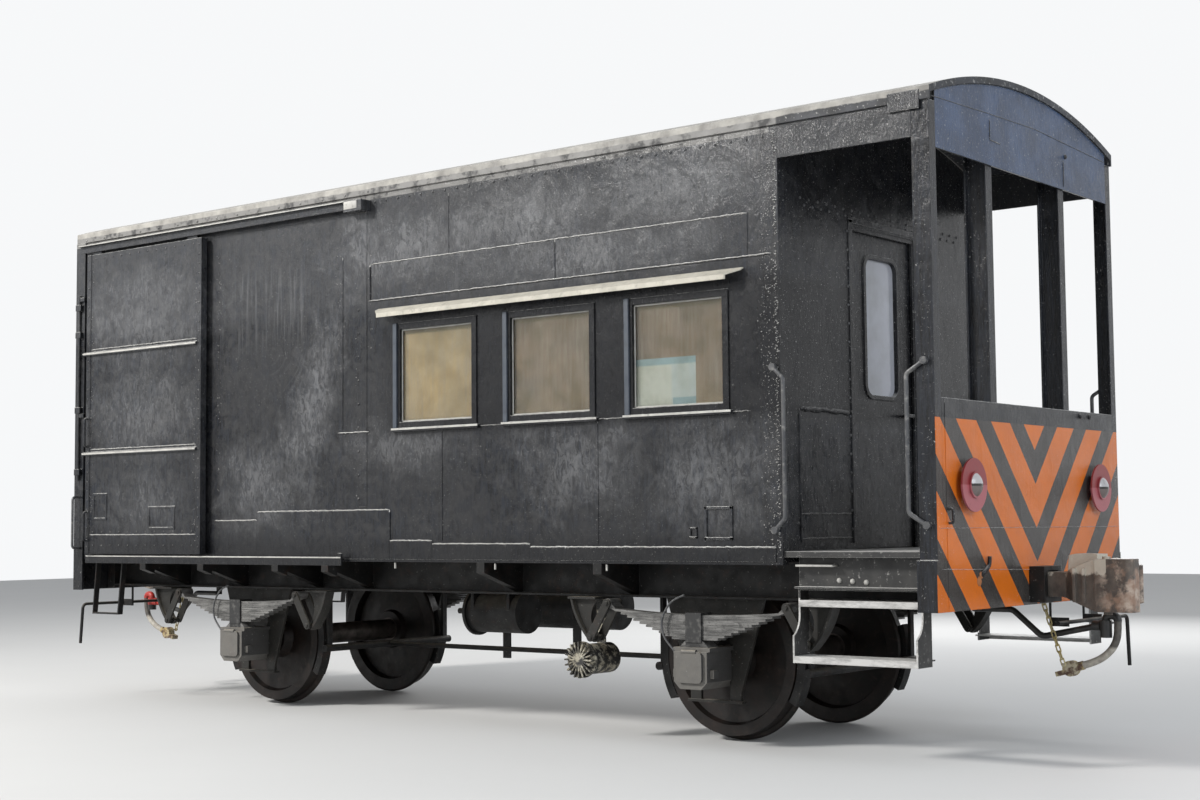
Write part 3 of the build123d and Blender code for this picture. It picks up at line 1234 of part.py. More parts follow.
with BuildPart() as one_pipe:
    rod([(HALF_L - 500, COCK_Y, RAIL_Z + 700), (HALF_L - 260, COCK_Y, RAIL_Z + 700),
         (HALF_L - 90, COCK_Y, RAIL_Z + 556), (COCK_X - 60, COCK_Y, COCK_Z - 4),
         (COCK_X, COCK_Y, COCK_Z)], PIPE_R, 60)
    bar("x", (COCK_Y, COCK_Z), COCK_X - 70, COCK_X - 30, 27)
    bar("z", (COCK_X, COCK_Y), COCK_Z - 62, COCK_Z + 30, 32)
    # swan neck that turns down into the hose
    rod([(COCK_X, COCK_Y, COCK_Z), (COCK_X, COCK_Y, NECK_Z), (NECK_X, COCK_Y, NECK_Z),
         (NECK_X, COCK_Y, HOSE_TOP)], NECK_R, 28)
    block(COCK_X - 12, COCK_X + 12, COCK_Y, COCK_Y + 95, COCK_Z + 8, COCK_Z + 18)
    # clip to the centre sill
    clip_x = HALF_L - 470
    block(clip_x, clip_x + 30, CENTRE_SILL_Y - 10, COCK_Y + 8, RAIL_Z + 690, RAIL_Z + 708)
    block(clip_x, clip_x + 30, CENTRE_SILL_Y - 10, CENTRE_SILL_Y + 20, RAIL_Z + 690,
          SOLE_TOP - CENTRE_SILL_DEPTH - SEAT_GAP)

with BuildPart() as brake_pipes:
    with Locations(Location((0, 0, 0)), Location((0, 0, 0), (0, 0, 180))):
        add(one_pipe.part)
finish(brake_pipes, "brake_pipes")


# Brake hoses: straight runs joined by arcs, with a coupling head at the end

HOSE_R = 20
HOSE_ROUTE = (
    (NECK_X, COCK_Y, HOSE_TOP - SEAT_GAP),
    (NECK_X, COCK_Y, HOSE_TOP - 65),
    (NECK_X - 20, COCK_Y, HOSE_TOP - 130),
    (NECK_X - 70, COCK_Y, HOSE_TOP - 184),
    (NECK_X - 137, COCK_Y, HOSE_TOP - 222),
    (NECK_X - 196, COCK_Y, HOSE_TOP - 239),
)


def corner_radii(points):
    """Radius at each corner: 0.45 of its shorter run, over the tangent of half the turn."""
    radii = []
    for a, b, c in zip(points, points[1:], points[2:]):
        first = Vector(*b) - Vector(*a)
        second = Vector(*c) - Vector(*b)
        turn = radians(first.get_angle(second))
        radii.append(0.45 * min(first.length, second.length) / (sin(turn / 2) / cos(turn / 2)))
    return radii


def hose(end, letter):
    points = [(end * x, end * y, z) for x, y, z in HOSE_ROUTE]
    radii = corner_radii(points)
    print("hose radii", [round(r) for r in radii])
    with BuildPart() as tube:
        with BuildLine() as route:
            FilletPolyline(*points, radius=radii)
        with BuildSketch(Plane(origin=route.line @ 0, z_dir=route.line % 0)):
            Circle(HOSE_R)
        sweep(path=route.line)
    length = sum(edge.length for edge in route.edges())
    ratio = tube.part.volume / (pi * HOSE_R ** 2 * length)
    print("hose length", round(length), "volume ratio", round(ratio, 4))
    finish(tube, f"brake_hose_{letter}")


hose(-1, "a")
hose(1, "b")

# Coupling heads, drawn in the plane of the hose's end face
NIPPLE = 42
HEAD_R = 42
HEAD_THICK = 52

CHAIN_Y = COCK_Y - 55
CHAIN_PIN_R = 5
CHAIN_PIN_END = 10         # that the pin reaches past the chain's middle

with BuildPart() as one_head:
    run = Vector(*HOSE_ROUTE[-1]) - Vector(*HOSE_ROUTE[-2])
    start = Vector(*HOSE_ROUTE[-1]) + run.normalized() * SEAT_GAP
    head_middle = start + run.normalized() * (NIPPLE + HEAD_R - 10)
    with BuildSketch(Plane(origin=start, x_dir=(0, 1, 0), z_dir=run)):
        Circle(HOSE_R + 4)
    extrude(amount=NIPPLE)
    with BuildSketch(Plane(origin=head_middle + Vector(0, HEAD_THICK / 2, 0), x_dir=run, z_dir=(0, -1, 0))):
        Circle(HEAD_R)
        with Locations((40, 10)):
            Rectangle(96, 26)
    extrude(amount=HEAD_THICK)
    # pin that the chain's last link hangs on
    chain_low = head_middle + Vector(-20, 0, 22)
    pin_end = CHAIN_Y - CHAIN_PIN_END
    bar("y", (chain_low.X, chain_low.Z), pin_end, COCK_Y, CHAIN_PIN_R)
    bar("y", (chain_low.X, chain_low.Z), pin_end, pin_end + 4, 2 * CHAIN_PIN_R)

with BuildPart() as hose_couplings:
    with Locations(Location((0, 0, 0)), Location((0, 0, 0), (0, 0, 180))):
        add(one_head.part)
finish(hose_couplings, "hose_couplings")


# Chains that hold up the coupling heads, each from a staple under the end beam

LINKS = 9
LINK_WIRE_R = 4
LINK_HALF = 10             # half width of a link, to the middle of its wire

with BuildPart() as one_chain:
    beam_low = SOLE_Z - 20 - SEAT_GAP
    chain_top = Vector(HALF_L - 50, CHAIN_Y, beam_low - 22)
    staple = LINK_WIRE_R + CHAIN_PIN_R + CLEARANCE
    x, z = chain_top.X, chain_top.Z
    rod([(x, CHAIN_Y - staple, beam_low), (x, CHAIN_Y - staple, z), (x, CHAIN_Y + staple, z),
         (x, CHAIN_Y + staple, beam_low)], CHAIN_PIN_R, 8)
    hang = Vector(chain_low.X, CHAIN_Y, chain_low.Z) - chain_top
    pitch = (hang.length + 2 * CHAIN_PIN_R + (LINKS + 1) * SEAT_GAP) / LINKS
    half = pitch / 2 + LINK_WIRE_R
    # the links lie in the chain's own plane and across it by turns
    for n in range(LINKS):
        along = pitch / 2 - CHAIN_PIN_R - SEAT_GAP + n * (pitch - SEAT_GAP)
        middle = chain_top + hang.normalized() * along
        across = Vector(0, 1, 0) if n % 2 else hang.cross(Vector(0, 1, 0)).normalized()
        a = hang.normalized() * half
        b = across * LINK_HALF
        corners = [middle + a + b, middle + a - b, middle - a - b, middle - a + b]
        with BuildLine() as path:
            FilletPolyline(*corners, radius=LINK_HALF - 0.2, close=True)
        with BuildSketch(Plane(origin=path.line @ 0, z_dir=path.line % 0)) as section:
            Circle(LINK_WIRE_R)
        sweep(sections=section.sketch, path=path.line)

with BuildPart() as hose_chains:
    with Locations(Location((0, 0, 0)), Location((0, 0, 0), (0, 0, 180))):
        add(one_chain.part)
finish(hose_chains, "hose_chains")
print("chain pitch", round(pitch, 1), "solids", len(hose_chains.part.solids()))


# Brake gear: a block on each side of each wheel, with hangers, beams and a pull rod

BLOCK_THICK = 50
BLOCK_HALF = 24            # half angle of a brake block, degrees
BLOCK_DROP = 6             # of its middle below the axle, degrees
BEAM_Z = AXLE_Z - 60
BEAM_R = 24
PULL_ROD_R = 16

with BuildPart() as one_shoe:
    r_in = TREAD_R + CLEARANCE
    r_out = r_in + BLOCK_THICK
    shoe_in = WHEEL_BACK + FLANGE_THICK + CLEARANCE
    shoe_out = WHEEL_FACE - 5
    angles = [radians(a - BLOCK_DROP) for a in (-BLOCK_HALF, 0, BLOCK_HALF)]
    inner = [(r_in * cos(a), r_in * sin(a)) for a in angles]
    outer = [(r_out * cos(a), r_out * sin(a)) for a in reversed(angles)]
    with BuildSketch(Plane(origin=(0, shoe_out, AXLE_Z), x_dir=(1, 0, 0), z_dir=(0, -1, 0))):
        with BuildLine():
            ThreePointArc(*inner)
            Line(inner[2], outer[0])
            ThreePointArc(*outer)
            Line(outer[2], inner[0])
        make_face()
    extrude(amount=shoe_out - shoe_in)
    hang_x = r_out + 12
    block(hang_x - 10, hang_x + 10, shoe_in + 12, shoe_in + 52, AXLE_Z - 70, SOLE_TOP - SEAT_GAP)
    mirror(about=Plane.XZ)
    bar("y", (hang_x + 4, BEAM_Z), -WHEEL_FACE, WHEEL_FACE, BEAM_R)
    mirror(about=Plane.YZ)

with BuildPart() as brake_gear:
    with Locations((-AXLE_X, 0, 0), (AXLE_X, 0, 0)):
        add(one_shoe.part)
    # pull rod between the inner beams, guided below the frame
    inner_end = AXLE_X - hang_x
    bar("x", (0, BEAM_Z), -inner_end, inner_end, PULL_ROD_R)
    for x in (-300, 300):
        block(x - 30, x + 30, -8, 8, BEAM_Z - 60, CROSS_Z - 1)
        block(x - 30, x + 30, -CENTRE_SILL_Y, CENTRE_SILL_Y, CROSS_Z - 15, CROSS_Z - 1)
finish(brake_gear, "brake_gear")


# Brake cylinder and air reservoir below the floor

TANK_Z = RAIL_Z + 640

with BuildPart() as brake_cylinder:
    y = -430
    bar("x", (y, TANK_Z), -150, 260, 130)
    bar("x", (y, TANK_Z), -170, -150, 150)
    bar("x", (y, TANK_Z), -330, -150, 18)
    for x in (-100, 200):
        block(x - 12, x + 12, y - 130, y + 130, TANK_Z + 20, SOLE_TOP - SEAT_GAP)
finish(brake_cylinder, "brake_cylinder")

with BuildPart() as air_reservoir:
    y = 420
    bar("x", (y, TANK_Z), -430, 330, 150)
    for x in (-330, 230):
        block(x - 12, x + 12, y - 140, y + 140, TANK_Z + 20, SOLE_TOP - SEAT_GAP)
finish(air_reservoir, "air_reservoir")


# Finned drum under the near side

DRUM_X = AXLE_X - 805
DRUM_Z = RAIL_Z + 415
DRUM_FRONT = -975
DRUM_BACK = -690
DRUM_R = 88
FINS = 20
FIN_R = 104
FIN_DEPTH = 35

with BuildPart() as finned_drum:
    bar("y", (DRUM_X, DRUM_Z), DRUM_FRONT + FIN_DEPTH + 10, DRUM_BACK, DRUM_R)
    bar("y", (DRUM_X, DRUM_Z), DRUM_FRONT, DRUM_FRONT + FIN_DEPTH + 10, 34)
    bar("y", (DRUM_X, DRUM_Z), DRUM_FRONT + FIN_DEPTH - 5, DRUM_FRONT + FIN_DEPTH + 10, FIN_R)
    with BuildSketch(side_plane(DRUM_FRONT + FIN_DEPTH)):
        with Locations((DRUM_X, DRUM_Z)):
            with PolarLocations((FIN_R + 32) / 2, FINS):
                Rectangle(FIN_R - 32, 9)
    extrude(amount=FIN_DEPTH)
    # hanger to the sole bar
    block(DRUM_X - 30, DRUM_X + 30, -GUARD_Y + 8, -GUARD_Y - 2, DRUM_Z + 60, SOLE_Z - SEAT_GAP)
finish(finned_drum, "finned_drum")
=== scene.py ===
"""Looks of a two-axle caboose: paints, rivets, weld seams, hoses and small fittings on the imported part."""
import json
import math
import random

import bmesh
import bpy
from mathutils import Matrix, Vector


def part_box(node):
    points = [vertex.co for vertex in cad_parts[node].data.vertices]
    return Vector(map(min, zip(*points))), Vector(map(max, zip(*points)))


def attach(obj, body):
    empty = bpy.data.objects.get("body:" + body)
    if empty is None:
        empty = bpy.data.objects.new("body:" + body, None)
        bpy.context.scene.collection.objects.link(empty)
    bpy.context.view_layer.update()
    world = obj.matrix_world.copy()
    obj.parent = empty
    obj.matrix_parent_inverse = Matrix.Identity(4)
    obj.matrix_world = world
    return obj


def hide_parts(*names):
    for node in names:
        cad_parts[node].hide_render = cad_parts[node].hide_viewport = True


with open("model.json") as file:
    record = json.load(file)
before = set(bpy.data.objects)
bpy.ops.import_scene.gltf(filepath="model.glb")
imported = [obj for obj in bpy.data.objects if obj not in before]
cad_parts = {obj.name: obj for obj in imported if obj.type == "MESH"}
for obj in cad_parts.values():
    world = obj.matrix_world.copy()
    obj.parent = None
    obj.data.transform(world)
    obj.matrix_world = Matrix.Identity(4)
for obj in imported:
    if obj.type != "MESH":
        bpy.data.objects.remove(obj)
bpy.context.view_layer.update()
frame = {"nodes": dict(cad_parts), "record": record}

# Places taken from the frame, in metres
NEAR_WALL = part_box("near_side_wall")
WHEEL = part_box("wheels_b")
END_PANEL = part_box("end_panel")

FLANGE_DEPTH = 0.028
RAIL_Z = WHEEL[0].z + FLANGE_DEPTH
SIDE_Y = -NEAR_WALL[0].y
BODY_END = END_PANEL[1].x
CABIN_END = NEAR_WALL[1].x
AXLE_X = (WHEEL[0].x + WHEEL[1].x) / 2
MARKER_Z = RAIL_Z + 1.37
EAVE_BAND = RAIL_Z + 3.306   # between the eave's grey strip and the roof's cream edge


# Node helpers

class Nodes:
    """A node tree, with short calls that add nodes to it."""

    def __init__(self, tree):
        self.tree = tree

    def put(self, socket, value):
        """Links another node's output to a socket, or sets the socket to a number or colour."""
        if isinstance(value, bpy.types.NodeSocket):
            self.tree.links.new(value, socket)
        elif socket.type == "RGBA" and len(value) == 3:
            socket.default_value = (*value, 1)
        else:
            socket.default_value = value

    def add(self, kind, **values):
        """A new node; values are its inputs, with _ for a space in a name."""
        node = self.tree.nodes.new("ShaderNode" + kind)
        for name, value in values.items():
            self.put(node.inputs[name.replace("_", " ")], value)
        return node

    def operate(self, kind, operation, *values):
        """A maths node's outputs; values are its inputs in order."""
        node = self.add(kind)
        node.operation = operation
        for socket, value in zip(node.inputs, values):
            self.put(socket, value)
        return node.outputs


class Surface(Nodes):
    """A new material, with places in the object's own coordinates."""

    def __init__(self, specular=0.5):
        self.material = bpy.data.materials.new("surface")
        self.material.use_nodes = True
        super().__init__(self.material.node_tree)
        self.shader = self.tree.nodes["Principled BSDF"]
        self.put(self.shader.inputs["Specular IOR Level"], specular)
        self.place = self.add("TexCoord").outputs["Object"]
        self.x, self.y, self.z = self.add("SeparateXYZ", Vector=self.place).outputs
        self.face = self.add("NewGeometry").outputs["Normal"]
        self.face_parts = self.add("SeparateXYZ", Vector=self.face).outputs
        self.normal = None

    def calc(self, operation, a, b=0.0, c=0.0):
        return self.operate("Math", operation, a, b, c)[0]

    def times(self, a, b):
        return self.calc("MULTIPLY", a, b)

    def minus(self, a, b):
        return self.calc("SUBTRACT", a, b)

    def span(self, a, b):
        """Length of the hypotenuse over a and b."""
        return self.calc("SQRT", self.calc("ADD", self.times(a, a), self.times(b, b)))

    def noise(self, scale, detail=4, rough=0.55, stretch=(1, 1, 1), bend=0):
        place = self.add("Mapping", Vector=self.place, Scale=stretch).outputs[0]
        return self.add("TexNoise", Vector=place, Scale=scale, Detail=detail, Roughness=rough,
                        Distortion=bend).outputs["Fac"]

    def rings(self, radius, scale):
        """Noise in rings of a radius."""
        place = self.add("CombineXYZ", X=radius).outputs[0]
        return self.add("TexNoise", Vector=place, Scale=scale, Detail=3).outputs["Fac"]

    def step(self, value, low, high, to_low=0.0, to_high=1.0):
        """value from low to high becomes to_low to to_high, clamped."""
        return self.add("MapRange", Value=value, From_Min=low, From_Max=high,
                        To_Min=to_low, To_Max=to_high).outputs[0]

    def uneven(self, scale, detail, low, high):
        """Noise from low to high, for roughness."""
        return self.step(self.noise(scale, detail), 0.3, 0.7, low, high)

    def blend(self, amount, a, b):
        """Colour a where amount is 0, b where it is 1."""
        node = self.add("Mix")
        node.data_type = "RGBA"
        for socket, value in zip((node.inputs["Factor"], node.inputs[6], node.inputs[7]), (amount, a, b)):
            self.put(socket, value)
        return node.outputs[2]

    def mottle(self, a, b, low, high, *noise, share=1.0, **bent):
        """Colour a with patches of b where noise of these values goes from low to high."""
        return self.blend(self.step(self.noise(*noise, **bent), low, high, 0.0, share), a, b)

    def bump(self, height, distance, strength=1.0):
        node = self.add("Bump", Height=height, Distance=distance, Strength=strength)
        if self.normal is not None:
            self.put(node.inputs["Normal"], self.normal)
        self.normal = node.outputs[0]

    def edges(self, radius=0.004, low=0.02, high=0.2):
        """1 on convex and concave edges, 0 on flat faces; it also rounds the edges' shading."""
        soft = self.add("Bevel", Radius=radius)
        soft.samples = 4
        lean = self.operate("VectorMath", "SUBTRACT", soft.outputs[0], self.face)[0]
        self.upper_edge = self.step(self.add("SeparateXYZ", Vector=lean).outputs["Z"], 0.10, 0.30)
        self.normal = soft.outputs[0]
        along = self.operate("VectorMath", "DOT_PRODUCT", soft.outputs[0], self.face)["Value"]
        return self.step(along, 1 - low, 1 - high)

    def upward(self, low=0.3, high=0.9):
        """1 on faces that look up, where dust settles."""
        return self.step(self.face_parts["Z"], low, high)

    def sideways(self):
        """1 on faces that look towards a side."""
        return self.step(self.calc("ABSOLUTE", self.face_parts["Y"]), 0.6, 0.8)

    def outward(self):
        """1 on faces that look towards +X."""
        return self.step(self.face_parts["X"], 0.6, 0.8)

    def done(self, colour, roughness, metallic=0.0):
        self.put(self.shader.inputs["Base Color"], colour)
        self.put(self.shader.inputs["Roughness"], roughness)
        self.shader.inputs["Metallic"].default_value = metallic
        if self.normal is not None:
            self.put(self.shader.inputs["Normal"], self.normal)
        return self.material


# Materials. Colours are linear.

SATIN = 0.3                # specular level of the blacks
BLACK = (0.006, 0.006, 0.007)
BLACK_WORN = (0.030, 0.030, 0.031)
BLUE_BLACK = (0.017, 0.020, 0.027)
# painted reflection of the sky on the platform's end faces
SKY_REFLECTION_BLUE = (0.026, 0.044, 0.085)
PALE_FILM = (0.210, 0.213, 0.220)
EAVE_GREY = (0.200, 0.195, 0.186)
# pale colour of painted highlights
PAINTED_GLINT = (0.62, 0.61, 0.58)
DUST = (0.30, 0.27, 0.22)
PALE = (0.42, 0.41, 0.39)
DARK_RUST = (0.055, 0.025, 0.015)
CREAM = (0.60, 0.56, 0.47)
ORANGE = (0.66, 0.155, 0.012)
PANEL_GREY = (0.040, 0.036, 0.033)

# Chevrons: their edges' slope, how often they repeat up the end's middle, and an orange stripe's share
CHEVRON_SLOPE = 1.07
CHEVRON_PERIOD = 0.416
CHEVRON_SHARE = 0.565
CHEVRON_PHASE = RAIL_Z + 1.155
CHEVRON_TOP = RAIL_Z + 1.70

# Soft patches of pale dust on a side: along, height, half length, half height, lean, strength
HAZE = (
    (-0.99, 1.98, 0.24, 0.62, 0.33, 0.60),
    (-1.45, 1.48, 0.48, 0.30, 0.00, 0.48),
    (-2.62, 2.66, 0.66, 0.40, 0.00, 0.50),
    (-2.65, 1.98, 0.58, 0.34, 0.00, 0.46),
    (-2.60, 1.40, 0.45, 0.26, 0.00, 0.30),
    (-0.54, 2.93, 0.22, 0.32, 0.00, 0.50),
    (-0.12, 2.92, 0.62, 0.24, 0.00, 0.56),
    (0.82, 2.98, 0.80, 0.22, 0.15, 0.62),
    (1.90, 3.02, 0.62, 0.22, 0.00, 0.52),
    (1.25, 2.72, 0.95, 0.16, 0.00, 0.46),
    (-0.15, 1.69, 0.55, 0.18, 0.00, 0.40),
    (1.22, 1.56, 0.48, 0.34, 0.00, 0.50),
    (2.15, 1.45, 0.45, 0.36, 0.00, 0.46),
)

# The sheet in a window: its left edge, where its colour changes, its right edge, its bottom and top
SHEET = (1.60, 1.875, 2.035, RAIL_Z + 1.80, RAIL_Z + 2.10)

# The brush swept round here, beside the door, and drew upright strokes above
BRUSH_X = -1.375
BRUSH_Z = RAIL_Z + 2.346
BRUSH_REACH = 0.55


def haze(s):
    """How much pale dust lies on the sides."""
    ragged = s.times(s.minus(s.noise(5, 6, 0.68, bend=0.6), 0.5), 2.6)
    total = 0.0
    for x, z, half_x, half_z, lean, strength in HAZE:
        up = s.minus(s.z, RAIL_Z + z)
        along = s.minus(s.x, s.calc("MULTIPLY_ADD", up, lean, x))
        a, b = s.calc("DIVIDE", along, half_x), s.calc("DIVIDE", up, half_z)
        total = s.calc("MAXIMUM", total, s.step(s.calc("ADD", s.span(a, b), ragged), 1.2, 0.0, 0.0, strength))
    scuffed = s.step(s.noise(26, 6, 0.70, stretch=(1, 1, 0.5), bend=1.2), 0.38, 0.62, 0.20, 1.0)
    return s.times(total, scuffed)


def brushwork(s):
    """Pale lines left by the brush: arcs below its turning point, upright strokes above."""
    across = s.minus(s.x, BRUSH_X)
    up = s.minus(s.z, BRUSH_Z)
    radius = s.calc("MULTIPLY_ADD", s.noise(2.2, 2), 0.16, s.span(across, up))
    arcs = s.times(s.step(s.rings(radius, 44), 0.50, 0.72), s.step(up, 0.05, -0.15))
    arcs = s.times(arcs, s.step(s.noise(4, 3), 0.42, 0.62))
    arcs = s.times(arcs, s.step(radius, BRUSH_REACH, BRUSH_REACH - 0.15))
    upright = s.step(s.noise(34, 4, stretch=(1, 0, 0.06), bend=0.3), 0.48, 0.70)
    upright = s.times(upright, s.times(s.step(up, -0.05, 0.15), s.step(up, 0.60, 0.45)))
    upright = s.times(upright, s.step(s.calc("ABSOLUTE", across), 0.42, 0.30))
    return s.calc("MAXIMUM", arcs, upright)


def chevrons(s):
    """1 on an orange stripe of the platform end's outer face."""
    wobble = s.times(s.noise(9, 3), 0.010)
    down = s.times(s.calc("ABSOLUTE", s.y), CHEVRON_SLOPE)
    along = s.calc("ADD", s.minus(s.z, down), wobble)
    turns = s.calc("DIVIDE", s.minus(along, CHEVRON_PHASE - 10 * CHEVRON_PERIOD), CHEVRON_PERIOD)
    stripe = s.calc("LESS_THAN", s.calc("FRACT", turns), CHEVRON_SHARE)
    low = s.calc("LESS_THAN", s.z, CHEVRON_TOP)
    outside = s.calc("GREATER_THAN", s.x, BODY_END - 0.002)
    end = s.times(low, outside)
    return s.times(stripe, end), end


def eave_paint(s):
    """Blotched grey of the strip along the eave."""
    return s.mottle(EAVE_GREY, BLACK_WORN, 0.50, 0.60, 9, 6, 0.7, share=0.85)


def gloss_black(striped=False, seam=False, sky_reflection=False, wear=1.0, flecks=0.22):
    """Thick black paint put on by brush over dented plate, with soft dust, painted highlights on upper edges
    and as specks, painted shade between the windows, and, where asked, a painted blue reflection of the sky
    on faces towards +X.
    """
    s = Surface(SATIN)
    s.edges(0.005, 0.05, 0.35)
    colour = s.mottle(BLACK, BLUE_BLACK, 0.40, 0.62, 9, 5, 0.62, stretch=(7, 7, 0.7), bend=1.0)
    colour = s.mottle(colour, BLACK_WORN, 0.42, 0.62, 14, 6, 0.72, bend=0.8, share=wear)
    colour = s.mottle(colour, BLACK_WORN, 0.42, 0.66, 1.1, 3, 0.5, bend=0.6, share=0.5 * wear)
    if sky_reflection:
        # painted blue reflection of the sky on faces towards +X
        sky_tint = s.mottle(SKY_REFLECTION_BLUE, [1.7 * c for c in SKY_REFLECTION_BLUE], 0.40, 0.66, 4, 5, 0.6)
        colour = s.blend(s.outward(), colour, sky_tint)
    film = 0.0
    if striped:
        stripe, end = chevrons(s)
        grey = s.mottle(PANEL_GREY, (0.052, 0.046, 0.042), 0.4, 0.7, 8, 5)
        colour = s.blend(end, colour, grey)
        orange = s.mottle(ORANGE, (0.52, 0.125, 0.014), 0.35, 0.75, 3, 4, 0.6)
        scuffs = s.step(s.noise(38, 6, 0.7), 0.66, 0.72)
        orange = s.blend(s.times(scuffs, 0.6), orange, (0.20, 0.06, 0.02))
        colour = s.blend(stripe, colour, orange)
    elif not seam:
        film = haze(s)
        colour = s.blend(film, colour, PALE_FILM)
        colour = s.blend(s.times(brushwork(s), 0.25), colour, PALE_FILM)
        # dustier at the belts, painted shade of the awning between the windows, and darker towards the sill
        high = s.times(s.sideways(), s.step(s.z, RAIL_Z + 2.50, RAIL_Z + 2.62, 0.0, 0.10))
        colour = s.blend(high, colour, PALE_FILM)
        low = s.step(s.z, RAIL_Z + 1.16, RAIL_Z + 1.06, 0.0, 0.6)
        off_middle = s.calc("ABSOLUTE", s.minus(s.z, RAIL_Z + 2.12))
        awning_shade = s.times(s.step(off_middle, 0.40, 0.34, 0.0, 0.7), s.step(s.x, -0.40, -0.20))
        colour = s.blend(s.calc("MAXIMUM", low, awning_shade), colour, BLACK)
        on_cabin = s.calc("LESS_THAN", s.x, CABIN_END - 0.05)
        eave = s.times(s.step(s.z, RAIL_Z + 3.240, RAIL_Z + 3.246), on_cabin)
        colour = s.blend(eave, colour, eave_paint(s))
    ledge = s.times(s.upward(0.5, 0.9), s.step(s.noise(18, 5), 0.30, 0.60, 0.45, 0.95))
    colour = s.blend(ledge, colour, PALE)
    # painted highlights as pale specks, thick at the cabin's corner
    glint_specks = s.step(s.noise(85, 5, 0.68, bend=0.4), 0.63, 0.67)
    corner = s.step(s.x, CABIN_END - 0.16, CABIN_END - 0.08, 0.0, 0.55)
    spread = s.step(s.noise(2.3, 3), 0.46, 0.62, 0.05, flecks)
    if not striped:
        spread = s.calc("MAXIMUM", spread, corner)
    colour = s.blend(s.times(glint_specks, 0.8 if seam else spread), colour, PAINTED_GLINT)
    # painted highlights along the upper edges of plates and seams
    glint = s.times(s.upper_edge, s.step(s.noise(34, 4, 0.6), 0.36, 0.56, 0.25, 1.0))
    colour = s.blend(glint, colour, PAINTED_GLINT)
    if seam:
        # painted highlights along the seams' crests
        crest_glint = s.times(s.upward(0.10, 0.45), s.step(s.noise(70, 4, 0.6), 0.34, 0.50, 0.55, 1.0))
        colour = s.blend(crest_glint, colour, PAINTED_GLINT)
    # dents, brush strokes and stipple
    s.bump(s.noise(1.3, 2, 0.4), 0.018, 0.9)
    s.bump(s.noise(5, 3, 0.5, bend=0.8), 0.006, 0.9)
    s.bump(s.noise(20, 5, 0.62, stretch=(3, 3, 0.8), bend=1.2), 0.0026, 1.0)
    s.bump(s.noise(110, 4, 0.65), 0.0012, 0.9)
    gloss = s.calc("ADD", s.step(s.noise(3.1, 5, 0.6), 0.3, 0.7, 0.14, 0.27), s.times(film, 0.30))
    return s.done(colour, gloss)


def dusty_black(base=(0.005, 0.005, 0.005), dust=0.40, rust=0.30, film=0.0, dark_ends=False):
    """Matt black running gear: dusty on its upper faces or all over, rusty, or darker towards +X."""
    s = Surface(SATIN)
    wear = s.edges(0.003, 0.04, 0.3)
    grime = s.step(s.noise(7, 6, 0.65), 0.42, 0.72)
    colour = s.blend(s.times(grime, 0.5), base, [c + 0.016 for c in base])
    spots = s.step(s.noise(15, 6, 0.7), 0.54, 0.68)
    colour = s.blend(s.times(spots, rust), colour, DARK_RUST)
    settled = s.times(s.calc("ADD", s.upward(0.1, 0.9), film), dust)
    colour = s.blend(s.times(settled, s.step(s.noise(22, 5), 0.3, 0.6, 0.5, 1.0)), colour, DUST)
    colour = s.blend(s.times(wear, 0.30 * dust), colour, PALE)
    if dark_ends:
        colour = s.blend(s.times(s.outward(), 0.8), colour, BLACK_WORN)
    colour = s.mottle(colour, PALE, 0.645, 0.68, 70, 5, 0.68, share=0.35)
    s.bump(s.noise(60, 5, 0.6), 0.0012, 0.6)
    s.bump(s.noise(9, 4, 0.6), 0.003, 0.5)
    return s.done(colour, s.uneven(12, 5, 0.38, 0.70))


def spring_leaves():
    """Leaves with pale dusty edges and dark gaps, and a black buckle."""
    s = Surface()
    wear = s.edges(0.002, 0.03, 0.25)
    greys = (0.050, 0.049, 0.047), (0.19, 0.186, 0.178)
    colour = s.mottle(*greys, 0.36, 0.62, 16, 5, 0.65, stretch=(0.4, 1, 3))
    colour = s.blend(s.times(wear, 0.6), colour, (0.50, 0.49, 0.46))
    colour = s.mottle(colour, (0.020, 0.019, 0.018), 0.56, 0.66, 26, 6, 0.7, share=0.7)
    off_axle = s.calc("ABSOLUTE", s.minus(s.calc("ABSOLUTE", s.x), AXLE_X))
    buckle = s.calc("LESS_THAN", off_axle, 0.056)
    dark = s.mottle((0.018, 0.018, 0.018), (0.09, 0.088, 0.083), 0.5, 0.7, 30, 5)
    colour = s.blend(buckle, colour, dark)
    s.bump(s.noise(60, 5, 0.6), 0.001, 0.6)
    return s.done(colour, s.uneven(12, 5, 0.40, 0.65))


def wheel_steel():
    """Near-black web and rim with grease, and a thin brown film on the tread."""
    s = Surface(SATIN)
    colour = s.mottle((0.006, 0.0055, 0.005), (0.016, 0.010, 0.008), 0.35, 0.7, 9, 6, 0.65)
    colour = s.mottle(colour, (0.065, 0.045, 0.034), 0.56, 0.76, 26, 5, share=0.4)
    s.bump(s.noise(45, 5, 0.6), 0.001, 0.6)
    return s.done(colour, s.uneven(14, 4, 0.34, 0.6))


def pipe_black():
    """Black pipes, with the red cock at the luggage end."""
    s = Surface()
    s.edges(0.003)
    black = s.mottle((0.010, 0.010, 0.010), (0.045, 0.042, 0.038), 0.4, 0.7, 14, 5)
    red = s.mottle((0.42, 0.030, 0.020), (0.24, 0.020, 0.016), 0.4, 0.7, 20, 5)
    cock = s.calc("LESS_THAN", s.x, -BODY_END - 0.12)
    high = s.calc("GREATER_THAN", s.z, RAIL_Z + 0.60)
    colour = s.blend(s.times(cock, high), black, red)
    s.bump(s.noise(60, 4), 0.001, 0.6)
    return s.done(colour, 0.45)


def bare_steel(base, bright):
    s = Surface()
    s.edges(0.003)
    colour = s.mottle(base, bright, 0.35, 0.7, 12, 5, 0.6)
    s.bump(s.noise(60, 4), 0.0006, 0.5)
    return s.done(colour, s.uneven(16, 4, 0.35, 0.6), 0.6)


